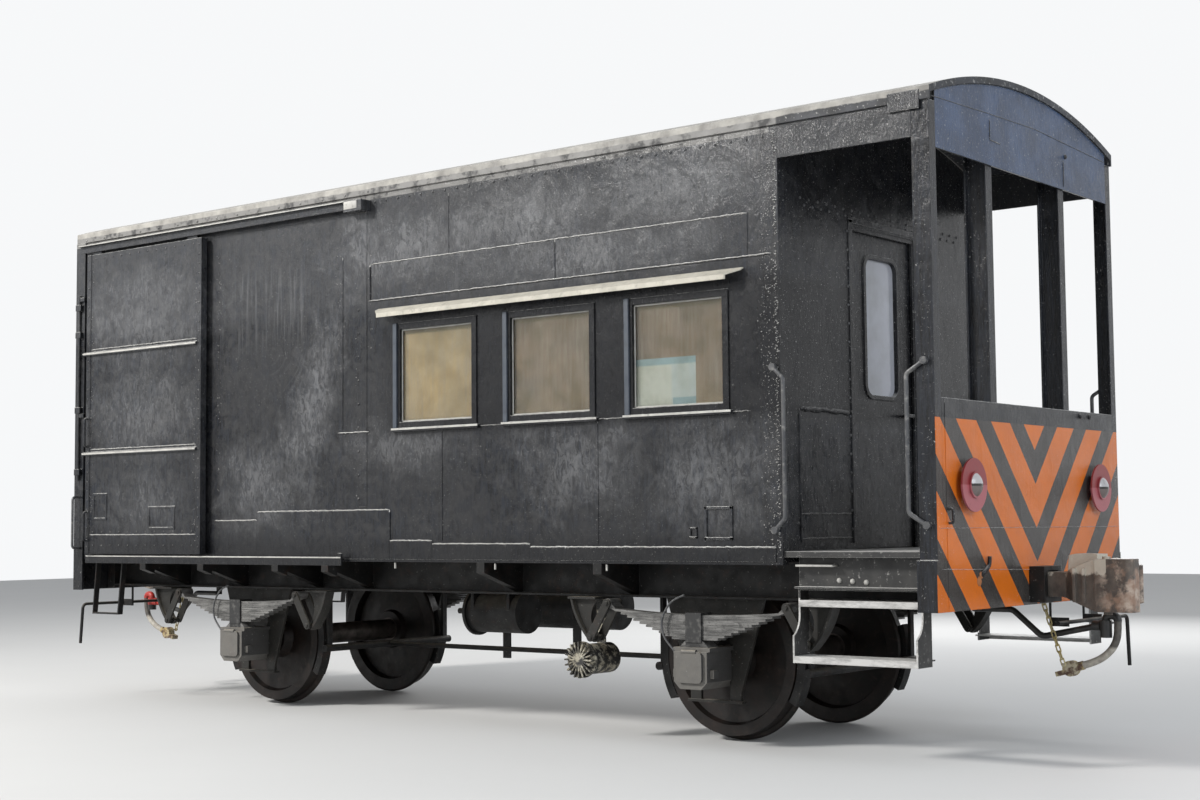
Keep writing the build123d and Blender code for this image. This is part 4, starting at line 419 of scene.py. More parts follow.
def worn_tread():
    """Steel treads and deck: black paint walked down to pale grey metal on top, made paler as painted
    sunlight, and painted sunlight on the treads' front lips.
    """
    s = Surface()
    wear = s.edges(0.005, 0.03, 0.25)
    top = s.upward(0.6, 0.95)
    # walked-down metal on top, paler still as painted sunlight
    walked_and_lit = s.times(top, s.step(s.noise(5, 6, 0.65), 0.30, 0.62, 0.65, 1.0))
    colour = s.mottle((0.012, 0.012, 0.012), (0.045, 0.043, 0.040), 0.4, 0.7, 10, 5, share=0.6)
    colour = s.mottle(colour, PALE, 0.60, 0.68, 50, 5, 0.65, share=0.5)
    # painted sunlight on the front lips of the lower treads
    lit_lips = s.times(s.sideways(), s.calc("LESS_THAN", s.z, RAIL_Z + 0.80))
    lit_lips = s.times(lit_lips, s.step(s.noise(24, 6, 0.68, stretch=(0.3, 1, 1)), 0.36, 0.56, 0.45, 1.0))
    colour = s.blend(lit_lips, colour, (0.56, 0.55, 0.53))
    bare = s.mottle((0.52, 0.51, 0.49), (0.72, 0.71, 0.68), 0.35, 0.65, 40, 5)
    colour = s.blend(walked_and_lit, colour, bare)
    colour = s.blend(s.times(wear, 0.8), colour, (0.66, 0.65, 0.61))
    s.bump(s.noise(75, 3), 0.0008, 0.7)
    return s.done(colour, s.uneven(14, 4, 0.4, 0.65))


def roof_grey():
    """Weathered roof with a cream edge, a blotched grey eave strip, black paint over the platform, and
    painted highlights as specks on the black and along upper edges.
    """
    s = Surface()
    s.edges(0.004)
    top = s.mottle((0.40, 0.39, 0.36), (0.27, 0.265, 0.25), 0.35, 0.7, 3, 6, 0.65)
    top = s.mottle(top, (0.12, 0.11, 0.10), 0.55, 0.78, 14, 5, 0.6, stretch=(1, 0.12, 0.12), share=0.5)
    level = s.minus(s.z, s.times(s.noise(22, 4), 0.016))
    edge = s.mottle((0.40, 0.385, 0.35), (0.20, 0.19, 0.175), 0.38, 0.66, 7, 6, 0.65)
    colour = s.blend(s.step(level, EAVE_BAND + 0.060, EAVE_BAND + 0.045), top, edge)
    colour = s.blend(s.step(level, EAVE_BAND, EAVE_BAND - 0.004), colour, eave_paint(s))
    # black over the platform, on the strip, the end's edge and the soffit
    over = s.step(s.x, CABIN_END, CABIN_END + 0.01)
    dark = s.mottle(BLUE_BLACK, BLACK_WORN, 0.40, 0.62, 9, 5)
    # painted highlights as pale specks on the black
    dark = s.blend(s.times(s.step(s.noise(60, 4), 0.60, 0.66), 0.4), dark, PAINTED_GLINT)
    low_over = s.times(over, s.step(level, EAVE_BAND + 0.006, EAVE_BAND))
    below = s.times(over, s.minus(1.0, s.upward(-0.4, -0.2)))
    black = s.calc("MAXIMUM", s.calc("MAXIMUM", low_over, below), s.times(over, s.outward()))
    colour = s.blend(black, colour, dark)
    # painted highlights along the upper edges
    colour = s.blend(s.times(s.upper_edge, 0.5), colour, PAINTED_GLINT)
    s.bump(s.noise(2.2, 3), 0.006, 0.5)
    s.bump(s.noise(55, 4), 0.0012, 0.6)
    return s.done(colour, s.uneven(9, 4, 0.45, 0.75))


PLANK = 0.12               # width of a floor board


def boards(light, dark):
    """Wooden boards with grain, split by dark joints."""
    s = Surface()
    grain = s.noise(7, 6, 0.65, stretch=(8, 8, 0.9), bend=1.2)
    colour = s.blend(s.step(grain, 0.3, 0.7), light, dark)
    colour = s.mottle(colour, (0.36, 0.34, 0.30), 0.5, 0.72, 3, 5, share=0.65)
    joint = s.calc("FRACT", s.calc("DIVIDE", s.calc("ADD", s.x, 20), PLANK))
    colour = s.blend(s.calc("LESS_THAN", joint, 0.035), colour, (0.03, 0.022, 0.015))
    s.bump(grain, 0.0012, 0.5)
    return s.done(colour, 0.7)


def window_board():
    """Ochre-brown sheets behind the dusty panes, with streaks, darker towards the cabin's end, and a painted
    shadow of the awning across their top.
    """
    s = Surface()
    brown = s.step(s.x, 0.3, 0.8)
    light = s.blend(brown, (0.50, 0.36, 0.165), (0.250, 0.178, 0.108))
    dark = s.blend(brown, (0.33, 0.26, 0.145), (0.140, 0.105, 0.070))
    colour = s.mottle(light, dark, 0.34, 0.66, 2.6, 6, 0.62, bend=0.6)
    colour = s.mottle(colour, (0.30, 0.275, 0.225), 0.42, 0.72, 16, 6, 0.65, stretch=(4, 1, 0.18), share=0.6)
    low = s.step(s.z, RAIL_Z + 2.02, RAIL_Z + 1.80, 0, 0.55)
    colour = s.blend(s.times(low, s.step(s.noise(12, 5), 0.3, 0.6)), colour, (0.34, 0.27, 0.16))
    # painted shadow of the awning along the top
    top = s.step(s.z, RAIL_Z + 2.365, RAIL_Z + 2.375, 0, 0.8)
    colour = s.blend(top, colour, (0.16, 0.13, 0.05))
    # a pale sheet with a blue band and corner stands in the near side's third window
    left, middle, right, low, high = SHEET
    band = s.step(s.z, high - 0.045, high - 0.035)
    corner = s.times(s.step(s.z, low + 0.080, low + 0.074), s.step(s.x, middle, middle + 0.006))
    paper = s.blend(s.step(s.x, middle - 0.010, middle), (0.50, 0.54, 0.48), (0.43, 0.51, 0.51))
    paper = s.mottle(paper, (0.62, 0.63, 0.57), 0.3, 0.7, 30, 4, stretch=(1, 1, 0.2), share=0.3)
    paper = s.blend(s.calc("MAXIMUM", band, corner), paper, (0.26, 0.39, 0.43))
    inside = s.times(s.step(s.x, left, left + 0.004), s.step(s.x, right, right - 0.004))
    inside = s.times(inside, s.step(s.z, high, high - 0.004))
    inside = s.times(inside, s.calc("LESS_THAN", s.y, 0.0))
    colour = s.blend(inside, colour, paper)
    s.bump(s.noise(25, 5, stretch=(1, 1, 0.3)), 0.001, 0.5)
    return s.done(colour, 0.6)


def glass(dusty=False):
    """Clear panes; the dusty one shows as a pale sheet."""
    s = Surface()
    s.shader.inputs["Transmission Weight"].default_value = 0.25 if dusty else 1.0
    s.shader.inputs["IOR"].default_value = 1.45
    dust = s.step(s.noise(4, 6, 0.65, stretch=(1, 1, 0.6)), 0.35, 0.75, 0.04, 0.20)
    clean, dull = (0.92, 0.92, 0.89), (0.76, 0.75, 0.68)
    if dusty:
        clean, dull = (0.56, 0.57, 0.62), (0.47, 0.48, 0.50)
    colour = s.mottle(clean, dull, 0.4, 0.7, 7, 6)
    return s.done(colour, dust)


def lens():
    s = Surface()
    middle = s.calc("ABSOLUTE", s.minus(s.z, MARKER_Z))
    # the upper half's pale grey is a painted reflection of the sky
    upper = s.calc("GREATER_THAN", s.z, MARKER_Z)
    colour = s.blend(upper, (0.16, 0.13, 0.12), (0.46, 0.45, 0.45))
    colour = s.blend(s.calc("LESS_THAN", middle, 0.006), colour, (0.03, 0.028, 0.027))
    colour = s.mottle(colour, (0.10, 0.09, 0.085), 0.55, 0.7, 28, 5, share=0.4)
    return s.done(colour, 0.22)


def faded_paint(base, faded, dirt, gloss=0.5):
    s = Surface()
    wear = s.edges(0.003, 0.03, 0.25)
    colour = s.mottle(base, faded, 0.35, 0.7, 9, 6, 0.6)
    colour = s.mottle(colour, dirt, 0.54, 0.70, 26, 6, 0.7, share=0.6)
    colour = s.blend(s.times(wear, 0.5), colour, dirt)
    s.bump(s.noise(70, 4), 0.0008, 0.6)
    return s.done(colour, s.uneven(12, 4, gloss - 0.12, gloss + 0.15))


def marker_red():
    """A disc painted dark red above and pinkish below."""
    s = Surface()
    upper = s.calc("GREATER_THAN", s.z, MARKER_Z)
    colour = s.blend(upper, (0.36, 0.095, 0.110), (0.235, 0.030, 0.034))
    colour = s.mottle(colour, (0.10, 0.035, 0.032), 0.56, 0.72, 26, 6, 0.7, share=0.5)
    s.bump(s.noise(70, 4), 0.0006, 0.6)
    return s.done(colour, 0.38)


def coupler_steel():
    """Black cast steel, cream paint daubed over the top of the head, and rusty, pale patches at its mouth."""
    s = Surface()
    wear = s.edges(0.006, 0.03, 0.3)
    colour = s.mottle((0.040, 0.035, 0.031), (0.120, 0.098, 0.080), 0.35, 0.65, 8, 6, 0.65)
    along = s.calc("ABSOLUTE", s.x)
    mouth = s.step(along, BODY_END + 0.36, BODY_END + 0.46)
    rusty = s.times(mouth, s.step(s.noise(9, 6, 0.68), 0.44, 0.56))
    rust = s.mottle((0.26, 0.165, 0.115), (0.52, 0.43, 0.35), 0.4, 0.6, 13, 5)
    colour = s.blend(rusty, colour, rust)
    colour = s.mottle(colour, DARK_RUST, 0.56, 0.68, 17, 6, 0.7, share=0.5)
    daub = s.calc("ADD", s.z, s.times(s.noise(14, 5, 0.65), 0.16))
    daub = s.step(daub, RAIL_Z + 0.985, RAIL_Z + 1.005)
    head = s.calc("LESS_THAN", along, BODY_END + 0.44)
    colour = s.blend(s.times(daub, head), colour, s.blend(s.noise(30, 4), CREAM, (0.44, 0.40, 0.33)))
    colour = s.blend(s.times(wear, 0.35), colour, (0.24, 0.20, 0.17))
    s.bump(s.noise(26, 5, 0.65), 0.004, 0.7)
    s.bump(s.noise(90, 4, 0.6), 0.001, 0.7)
    return s.done(colour, s.uneven(10, 4, 0.35, 0.7))


def hose_rubber():
    """Grey-brown rubber whose lower half has been painted cream."""
    s = Surface()
    painted = s.calc("ADD", s.z, s.times(s.noise(20, 4), 0.03))
    painted = s.step(painted, RAIL_Z + 0.535, RAIL_Z + 0.515)
    rubber = s.mottle((0.050, 0.045, 0.040), (0.11, 0.10, 0.085), 0.35, 0.7, 35, 5)
    paint = s.mottle((0.46, 0.43, 0.37), (0.26, 0.235, 0.20), 0.40, 0.7, 30, 5, 0.65)
    colour = s.blend(painted, rubber, paint)
    s.bump(s.noise(110, 3), 0.0006, 0.7)
    return s.done(colour, 0.6)


def cast_fitting(paint=(0.44, 0.39, 0.28), second=(0.40, 0.30, 0.12), bare=(0.085, 0.045, 0.028), share=0.46):
    """Cast iron with flaking paint; share is where the bare metal starts to show."""
    s = Surface()
    wear = s.edges(0.003, 0.03, 0.3)
    painted = s.mottle(paint, second, 0.4, 0.6, 9, 4)
    colour = s.mottle(painted, bare, share, share + 0.12, 24, 6, 0.7)
    colour = s.blend(s.times(wear, 0.6), colour, paint)
    s.bump(s.noise(60, 5), 0.0015, 0.7)
    return s.done(colour, 0.6)


MATERIALS = {
    "wheel_steel": wheel_steel(),
    "axle_steel": bare_steel((0.04, 0.035, 0.03), (0.12, 0.10, 0.09)),
    "grey_paint": dusty_black((0.105, 0.103, 0.099), 0.75, 0.15, 0.25, dark_ends=True),
    "gear_black": dusty_black(),
    "hanger_black": dusty_black((0.011, 0.011, 0.010), 0.6, 0.2, 0.05),
    "pipe_black": pipe_black(),
    "spring_steel": spring_leaves(),
    "floor_boards": boards((0.20, 0.13, 0.075), (0.10, 0.065, 0.04)),
    "deck_grey": worn_tread(),
    "black_paint": gloss_black(),
    "seam_paint": gloss_black(seam=True),
    "inside_paint": faded_paint((0.17, 0.20, 0.17), (0.23, 0.25, 0.21), (0.09, 0.09, 0.075)),
    "roof_grey": roof_grey(),
    "rust_flakes": faded_paint((0.30, 0.11, 0.035), (0.40, 0.17, 0.05), (0.12, 0.05, 0.025), 0.7),
    "window_glass": glass(),
    "dusty_glass": glass(dusty=True),
    "pale_paint": faded_paint((0.55, 0.54, 0.50), (0.36, 0.35, 0.33), (0.10, 0.10, 0.10)),
    "worn_grey": faded_paint((0.045, 0.047, 0.052), (0.10, 0.10, 0.10), (0.34, 0.33, 0.31), 0.35),
    "strip_blue": faded_paint((0.040, 0.050, 0.068), (0.065, 0.078, 0.095), (0.03, 0.03, 0.033), 0.4),
    "fascia_paint": gloss_black(sky_reflection=True, flecks=0.10),
    "post_paint": gloss_black(striped=True, wear=0.25, flecks=0.85),
    "brown_boards": window_board(),
    "cream_paint": faded_paint((0.56, 0.53, 0.45), (0.40, 0.38, 0.32), (0.20, 0.18, 0.15)),
    "stripe_paint": gloss_black(striped=True),
    "red_paint": marker_red(),
    "lens_glass": lens(),
    "coupler_steel": coupler_steel(),
    "hose_rubber": hose_rubber(),
    "cast_fitting": cast_fitting(),
    "chain_yellow": cast_fitting((0.50, 0.43, 0.24), (0.42, 0.33, 0.13), (0.20, 0.13, 0.06), 0.56),
    "drum_paint": cast_fitting((0.50, 0.47, 0.38), (0.30, 0.27, 0.20), (0.018, 0.017, 0.016), 0.40),
}
for finish, material in MATERIALS.items():
    material.name = finish

for part in frame["record"]["subparts"]:
    mesh = frame["nodes"][part["node"]].data
    mesh.materials.clear()
    mesh.materials.append(MATERIALS[part["material_slot"]])

# finishes of single nodes; the stripes run on over the platform posts' end faces
FINISHES = {
    "platform_posts": "post_paint",
    "platform_fascias": "fascia_paint",
    "end_door_glass": "dusty_glass",
    "handrails": "worn_grey",
    "brake_pipes": "pipe_black",
    "spring_shackles": "hanger_black",
    "spring_brackets": "hanger_black",
    "axle_guards": "hanger_black",
    "hose_chains": "chain_yellow",
    "finned_drum": "drum_paint",
}
for node, finish in FINISHES.items():
    frame["nodes"][node].data.materials[0] = MATERIALS[finish]


# Mesh helpers

def stand(name, data):
    """A new object in the scene."""
    thing = bpy.data.objects.new(name, data)
    bpy.context.scene.collection.objects.link(thing)
    return thing


def make(name, mesh, slot="black_paint", body="root", smooth=True, finish=None):
    """A piece from a bmesh that rides on a body; finish names its material where the slot's isn't meant."""
    data = bpy.data.meshes.new(name)
    bmesh.ops.recalc_face_normals(mesh, faces=mesh.faces)
    mesh.to_mesh(data)
    mesh.free()
    data.materials.append(MATERIALS[finish or slot])
    for polygon in data.polygons:
        polygon.use_smooth = smooth
    thing = stand(name, data)
    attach(thing, body)


def facing(normal):
    """Rotation that turns +Z to the normal."""
    return Vector(normal).normalized().to_track_quat("Z", "Y").to_matrix().to_4x4()


def skin(mesh, rings):
    """Faces that join rings of points, and close the first ring."""
    for low, high in zip(rings, rings[1:]):
        for k in range(len(low)):
            after = (k + 1) % len(low)
            mesh.faces.new((low[k], low[after], high[after], high[k]))
    mesh.faces.new(list(reversed(rings[0])))


def dome(mesh, centre, normal, radius, rise, sides=8):
    """A rivet head: a low dome with its foot just under the surface."""
    turn = Matrix.Translation(centre) @ facing(normal)
    rings = []
    for r, h in ((1.0, -0.25), (1.0, 0.25), (0.72, 0.78)):
        points = [(r * radius * math.cos(a), r * radius * math.sin(a), h * rise)
                  for a in (math.tau * k / sides for k in range(sides))]
        rings.append([mesh.verts.new(turn @ Vector(point)) for point in points])
    skin(mesh, rings)
    tip = mesh.verts.new(turn @ Vector((0, 0, rise)))
    for k in range(sides):
        mesh.faces.new((rings[-1][k], rings[-1][(k + 1) % sides], tip))


STRIP_SUNK = 0.001     # of a strip's foot into what carries it


def strip(mesh, low, high, normal, rise, chamfer=0.002):
    """A flat plate between two corners on an upright plane, standing out by rise, with chamfered edges."""
    low, size = Vector(low), Vector(high) - Vector(low)
    run = Vector((size.x, size.y, 0)).normalized()
    rings = []
    for inset, height in ((0, -STRIP_SUNK), (0, rise - chamfer), (chamfer, rise)):
        ring = []
        for a, b in ((0, 0), (1, 0), (1, 1), (0, 1)):
            point = low + Vector((a * size.x, a * size.y, b * size.z))
            point += inset * ((1 - 2 * a) * run + Vector((0, 0, 1 - 2 * b)))
            ring.append(mesh.verts.new(point + height * Vector(normal)))
        rings.append(ring)
    skin(mesh, rings)
    mesh.faces.new(rings[-1])


def border(left, right, low, high, rim):
    """Left, right, bottom and top of the four strips of a frame."""
    return ((left, right, low, low + rim), (left, right, high - rim, high),
            (left, left + rim, low, high), (right - rim, right, low, high))


def bead(mesh, start, end, normal, width, rise, seed=0, step=0.018):
    """An uneven weld bead along a straight seam."""
    start, end, normal = Vector(start), Vector(end), Vector(normal)
    run = end - start
    count = max(2, round(run.length / step))
    across = run.normalized().cross(normal)
    wander = random.Random(seed)
    rows = []
    for k in range(count + 1):
        middle = start + run * (k / count)
        wide = width * (0.75 + 0.5 * wander.random())
        tall = rise * (0.6 + 0.7 * wander.random())
        shift = width * 0.25 * (wander.random() - 0.5)
        if k in (0, count):
            wide *= 0.5
            tall *= 0.3
        rows.append([
            mesh.verts.new(middle + across * (shift + a * wide / 2) + normal * (h * tall))
            for a, h in ((-1, -0.2), (-0.55, 0.75), (0, 1), (0.55, 0.75), (1, -0.2))
        ])
    skin(mesh, rows)
    mesh.faces.new(rows[-1])


def rounded(points, steps=6):
    """More points along a smooth curve through the given ones."""
    ends = [points[0], *points, points[-1]]
    path = []
    for a, b, c, d in zip(ends, ends[1:], ends[2:], ends[3:]):
        for k in range(steps):
            t = k / steps
            square, cube = t * t, t * t * t
            path.append(0.5 * (2 * b + (c - a) * t + (2 * a - 5 * b + 4 * c - d) * square
                               + (3 * b - a - 3 * c + d) * cube))
    return path + [points[-1]]


def tube(mesh, points, radius, sides=8):
    """A round wire along a smooth curve, with closed ends."""
    path = rounded([Vector(point) for point in points])
    across = (path[1] - path[0]).orthogonal()
    rings = []
    for k, place in enumerate(path):
        run = (path[min(k + 1, len(path) - 1)] - path[max(k - 1, 0)]).normalized()
        across = (across - run * across.dot(run)).normalized()
        up = run.cross(across)
        rings.append([mesh.verts.new(place + radius * (math.cos(a) * across + math.sin(a) * up))
                      for a in (math.tau * n / sides for n in range(sides))])
    skin(mesh, rings)
    mesh.faces.new(rings[-1])


def flecks(mesh, start, end, normal, spread, per_metre, size, seed):
    """Weld spatter under paint, strewn along a line."""
    start, end, normal = Vector(start), Vector(end), Vector(normal)
    run = end - start
    across = run.normalized().cross(normal)
    strew = random.Random(seed)
    for _ in range(round(run.length * per_metre)):
        spot = start + run * strew.random() + across * strew.gauss(0, spread / 2)
        wide = size * (0.4 + 1.1 * strew.random() ** 2)
        dome(mesh, spot, normal, wide, wide * 0.6, sides=5)


def spaced(start, end, pitch):
    """Places from start to end, evenly spaced at about the pitch."""
    count = max(1, round(abs(end - start) / pitch))
    return [start + (end - start) * k / count for k in range(count + 1)]


# Side walls: rivet rows, weld seams, belts and small fittings, alike on both sides

WALL_RIVET = (0.009, 0.005)     # radius, rise
STRIP_OUT = 0.012           # of the eave's strip from the wall
# rivet rows: along at a height or up at a place, from, to, height or place, pitch, how far the surface is out
WALL_ROWS = (
    ("along", -1.00, 2.50, 3.225, 0.100, 0),
    ("along", -3.38, -0.45, 3.292, 0.210, STRIP_OUT),
    ("up", 1.36, 2.55, -0.545, 0.140, 0.003),
)
# plates welded on: left, right, bottom, top, how far they stand out
WALL_PLATES = (
    (-0.43, 2.40, 2.60, 2.83, 0.004),
    (-1.93, -1.50, 0.985, 1.235, 0.005),
    (-1.50, -0.27, 0.985, 1.290, 0.006),
    (-0.27, 0.09, 0.985, 1.100, 0.005),
    (0.09, 0.87, 0.985, 1.080, 0.005),
    (0.87, 2.55, 0.985, 1.062, 0.005),
    (-0.56, -0.47, 1.31, 3.17, 0.003),
)
# weld seams: x and height of one end, then of the other
WALL_SEAMS = (
    (-0.45, 2.60, 2.55, 2.60), (-0.43, 2.83, 2.40, 2.83), (-0.44, 2.60, -0.44, 2.83),
    (-1.93, 1.235, -1.50, 1.235), (-1.50, 1.290, -0.27, 1.290), (-0.27, 1.10, -0.27, 1.290),
    (-0.27, 1.100, 0.09, 1.100), (0.09, 1.080, 0.87, 1.080), (0.87, 1.062, 2.55, 1.062),
    (-0.73, 1.779, -0.45, 1.779), (1.073, 2.60, 1.073, 2.83),
)
SEAM_SIZE = (0.003, 0.011, 0.005)       # how far out, width, rise
# faint seams, as thin beads of black paint
FAINT_SEAMS = (
    (-0.69, 1.80, -0.69, 2.90), (0.233, 2.83, 0.233, 3.20), (0.173, 1.10, 0.173, 1.77),
    (1.372, 1.08, 1.372, 1.77), (-1.50, 0.99, -1.50, 1.290), (0.88, 1.00, 0.88, 1.06),
    (-0.23, 1.779, 2.40, 1.779),
)
FAINT_SIZE = (0.001, 0.008, 0.003)
# spatter: x, from, to, width of the band, flecks in a metre, size
WALL_FLECKS = (
    (2.515, 1.00, 3.25, 0.050, 170, 0.0034),
    (2.572, 1.00, 3.25, 0.012, 170, 0.0046),
    (-0.55, 1.35, 3.15, 0.030, 60, 0.0026),
    (-0.72, 1.80, 3.10, 0.045, 36, 0.0024),
    (-1.90, 1.10, 3.05, 0.026, 44, 0.0026),
    (-0.44, 2.30, 2.90, 0.018, 44, 0.0026),
    (1.372, 1.10, 1.75, 0.018, 30, 0.0024),
    (0.173, 1.10, 1.75, 0.014, 30, 0.0024),
)
# card frames: left, right, bottom, top, rim
WALL_CARDS = (
    (2.10, 2.28, 1.10, 1.28, 0.016),
    (2.00, 2.05, 1.11, 1.17, 0.010),
)
CARD_RISE = 0.009
# a black plate on the eave's strip, by the platform: left, right, bottom, top
EAVE_PLATE = (3.256, 3.436, 3.235, 3.332)
EAVE_PLATE_RISE = 0.003
# pins below the wall: their places, top, bottom, how far out, radius
SILL_PINS = (-0.236, 0.587, 1.42)
SILL_PIN = (0.965, 0.93, -0.012, 0.006)


def which(side, face=0.0):
    """A side's name, its direction, and a function that gives a point by x, height and how far out it is."""
    def at(x, z, proud=0.0):
        return Vector((x, side * (face + proud), RAIL_Z + z))

    return "near" if side < 0 else "far", Vector((0, side, 0)), at


def beads(mesh, seams, at, out, sunk, width, rise, seed):
    """Weld beads along seams, given by their ends."""
    for number, (a, z, b, top) in enumerate(seams):
        bead(mesh, at(a, z, sunk), at(b, top, sunk), out, width, rise, number + seed)


def rivet_rows(mesh, rows, at, out, rivet):
    for way, start, end, level, pitch, proud in rows:
        for place in spaced(start, end, pitch):
            dome(mesh, at(level, place, proud) if way == "up" else at(place, level, proud), out, *rivet)


def side_fittings(side):
    word, out, at = which(side, SIDE_Y)

    rivets = bmesh.new()
    rivet_rows(rivets, WALL_ROWS, at, out, WALL_RIVET)
    make(f"{word}_wall_rivets", rivets)

    plates = bmesh.new()
    for left, right, low, high, rise in WALL_PLATES:
        strip(plates, at(left, low), at(right, high), out, rise)
    for card in WALL_CARDS:
        for left, right, low, high in border(*card):
            strip(plates, at(left, low), at(right, high), out, CARD_RISE)
    left, right, low, high = EAVE_PLATE
    strip(plates, at(left, low, STRIP_OUT), at(right, high, STRIP_OUT), out, EAVE_PLATE_RISE)
    make(f"{word}_wall_plates", plates, smooth=False)

    offset = 30 if side > 0 else 0     # so that the two sides' seams differ
    seams = bmesh.new()
    beads(seams, WALL_SEAMS, at, out, *SEAM_SIZE, offset)
    for number, (x, low, high, band, count, size) in enumerate(WALL_FLECKS):
        flecks(seams, at(x, low), at(x, high), out, band, count, size, number + offset)
    make(f"{word}_wall_seams", seams, finish="seam_paint")

    faint = bmesh.new()
    beads(faint, FAINT_SEAMS, at, out, *FAINT_SIZE, 60 + offset)
    make(f"{word}_faint_seams", faint)

    pins = bmesh.new()
    top, bottom, proud, radius = SILL_PIN
    for x in SILL_PINS:
        tube(pins, (at(x, top, proud), at(x, bottom, proud)), radius)
    make(f"{word}_sill_pins", pins, finish="pale_paint")


# Sliding doors: rivets round the frame, weld seams, and painted highlights on the battens' tops

DOOR_LEFT = -3.28
DOOR_RIGHT = -2.00
DOOR_FACE = 1.189
DOOR_EDGE = 0.0225
DOOR_RIVET = (0.0065, 0.004)        # radius, rise
# rivet rows, as on the walls: up both uprights of the frame, and along its bars
DOOR_ROWS = (
    ("up", 1.06, 3.12, DOOR_LEFT + DOOR_EDGE, 0.066, 0.004),
    ("up", 1.06, 3.12, DOOR_RIGHT - DOOR_EDGE, 0.066, 0.004),
    *(("along", DOOR_LEFT + 0.09, DOOR_RIGHT - 0.09, height, 0.10, 0) for height in (3.13, 1.165, 1.07)),
)
DOOR_SEAMS = [(DOOR_LEFT + 0.05, height, DOOR_RIGHT - 0.05, height) for height in (1.145, 2.475, 1.755)]
DOOR_SEAM_SIZE = (0, 0.010, 0.005)
# spatter beside the uprights: how far in from the edge, from, to, width of the band, flecks in a metre, size
DOOR_FLECKS = (0.06, 1.10, 3.10, 0.026, 50, 0.0026)
# painted highlights along the battens' tops: left, right, how far out, then the heights from and to
BATTEN_TOP = (DOOR_LEFT - 0.028, DOOR_RIGHT - 0.042, 0.018)
BATTEN_EDGES = ((2.440, 2.451), (1.720, 1.731))
# rise and chamfer of a thin pale line, which is thin as paint
THIN_LINE = (0.001, 0.0005)


def door_fittings(side):
    word, out, at = which(side, DOOR_FACE)
    rivets = bmesh.new()
    rivet_rows(rivets, DOOR_ROWS, at, out, DOOR_RIVET)
    make(f"{word}_door_rivets", rivets, body=f"{word}_door")
    seams = bmesh.new()
    beads(seams, DOOR_SEAMS, at, out, *DOOR_SEAM_SIZE, 60)
    inset, low, high, *strewn = DOOR_FLECKS
    for number, x in enumerate((DOOR_LEFT + inset, DOOR_RIGHT - inset)):
        flecks(seams, at(x, low), at(x, high), out, *strewn, 70 + number)
    make(f"{word}_door_seams", seams, body=f"{word}_door", finish="seam_paint")
    # painted highlights along the battens' tops
    glint_strips = bmesh.new()
    left, right, proud = BATTEN_TOP
    for low, high in BATTEN_EDGES:
        strip(glint_strips, at(left, low, proud), at(right, high, proud), out, *THIN_LINE)
    make(f"{word}_batten_glints", glint_strips, body=f"{word}_door", finish="pale_paint")


for side in (-1, 1):
    side_fittings(side)
    door_fittings(side)


# Windows: their left and right edges, heights above the rail, and the frame's width

WINDOWS = ((-0.215, 0.460), (0.690, 1.360), (1.590, 2.270))
WINDOW_LOW = 1.790
WINDOW_HIGH = 2.440
PANE_RIM = 0.038
PUTTY = 0.009              # width of the line round a pane
# the strip left of each frame: from and to, counted from the frame's edge, how far out, rise
WINDOW_STRIP = (-0.012, 0.020, 0.008, 0.012)
# how far out of the wall the panes are, and a putty line's rise
PANE_OUT = -0.0135
PUTTY_RISE = 0.004
# the sill's pale edge: how far past the frame at each end, its height, how far out
SILL_EDGE = (0.022, 0.012, 0.0235)


def window_trim(side):
    """Raised strips left of each window, putty lines round the panes, and pale sills."""
    word, out, at = which(side, SIDE_Y)
    strips, putty = bmesh.new(), bmesh.new()
    low, high = WINDOW_LOW, WINDOW_HIGH
    start, end, proud, rise = WINDOW_STRIP
    past, tall, sill = SILL_EDGE
    for left, right in WINDOWS:
        strip(strips, at(left + start, low, proud), at(left + end, high, proud), out, rise)
        pane = (left + PANE_RIM, right - PANE_RIM, low + PANE_RIM, high - PANE_RIM)
        for x0, x1, z0, z1 in border(*pane, PUTTY):
            strip(putty, at(x0, z0, PANE_OUT), at(x1, z1, PANE_OUT), out, PUTTY_RISE)
        strip(putty, at(left - past, low - tall, sill), at(right + past, low, sill), out, *THIN_LINE)
    make(f"{word}_window_strips", strips, smooth=False, finish="strip_blue")
    make(f"{word}_window_putty", putty, smooth=False, finish="pale_paint")


# Cabin end wall, platform end and fascia

END_RIVET = (0.009, 0.006)
# rivet rows, as on the walls
END_ROWS = (
    ("along", -0.90, 0.90, 2.920, 0.088, 0),
    ("along", -0.86, 0.86, 2.885, 0.088, 0),
    ("up", 1.15, 2.80, -0.415, 0.100, 0),
    ("up", 1.15, 2.80, 0.415, 0.100, 0),
)
# seams on the cabin's end wall: y and height of one end, then of the other, width, rise
END_SEAMS = (
    (-0.93, 1.79, -0.41, 1.79, 0.030, 0.010), (0.41, 1.79, 0.93, 1.79, 0.030, 0.010),
    (-0.94, 1.08, -0.94, 1.79, 0.010, 0.004), (0.94, 1.08, 0.94, 1.79, 0.010, 0.004),
    (-0.93, 1.235, -0.41, 1.235, 0.010, 0.004), (0.41, 1.235, 0.93, 1.235, 0.010, 0.004),
    (-0.93, 1.105, -0.41, 1.105, 0.010, 0.004), (0.41, 1.105, 0.93, 1.105, 0.010, 0.004),
    (-0.915, 2.43, -0.885, 2.43, 0.008, 0.006),
)
END_SEAM_STEP = 0.03
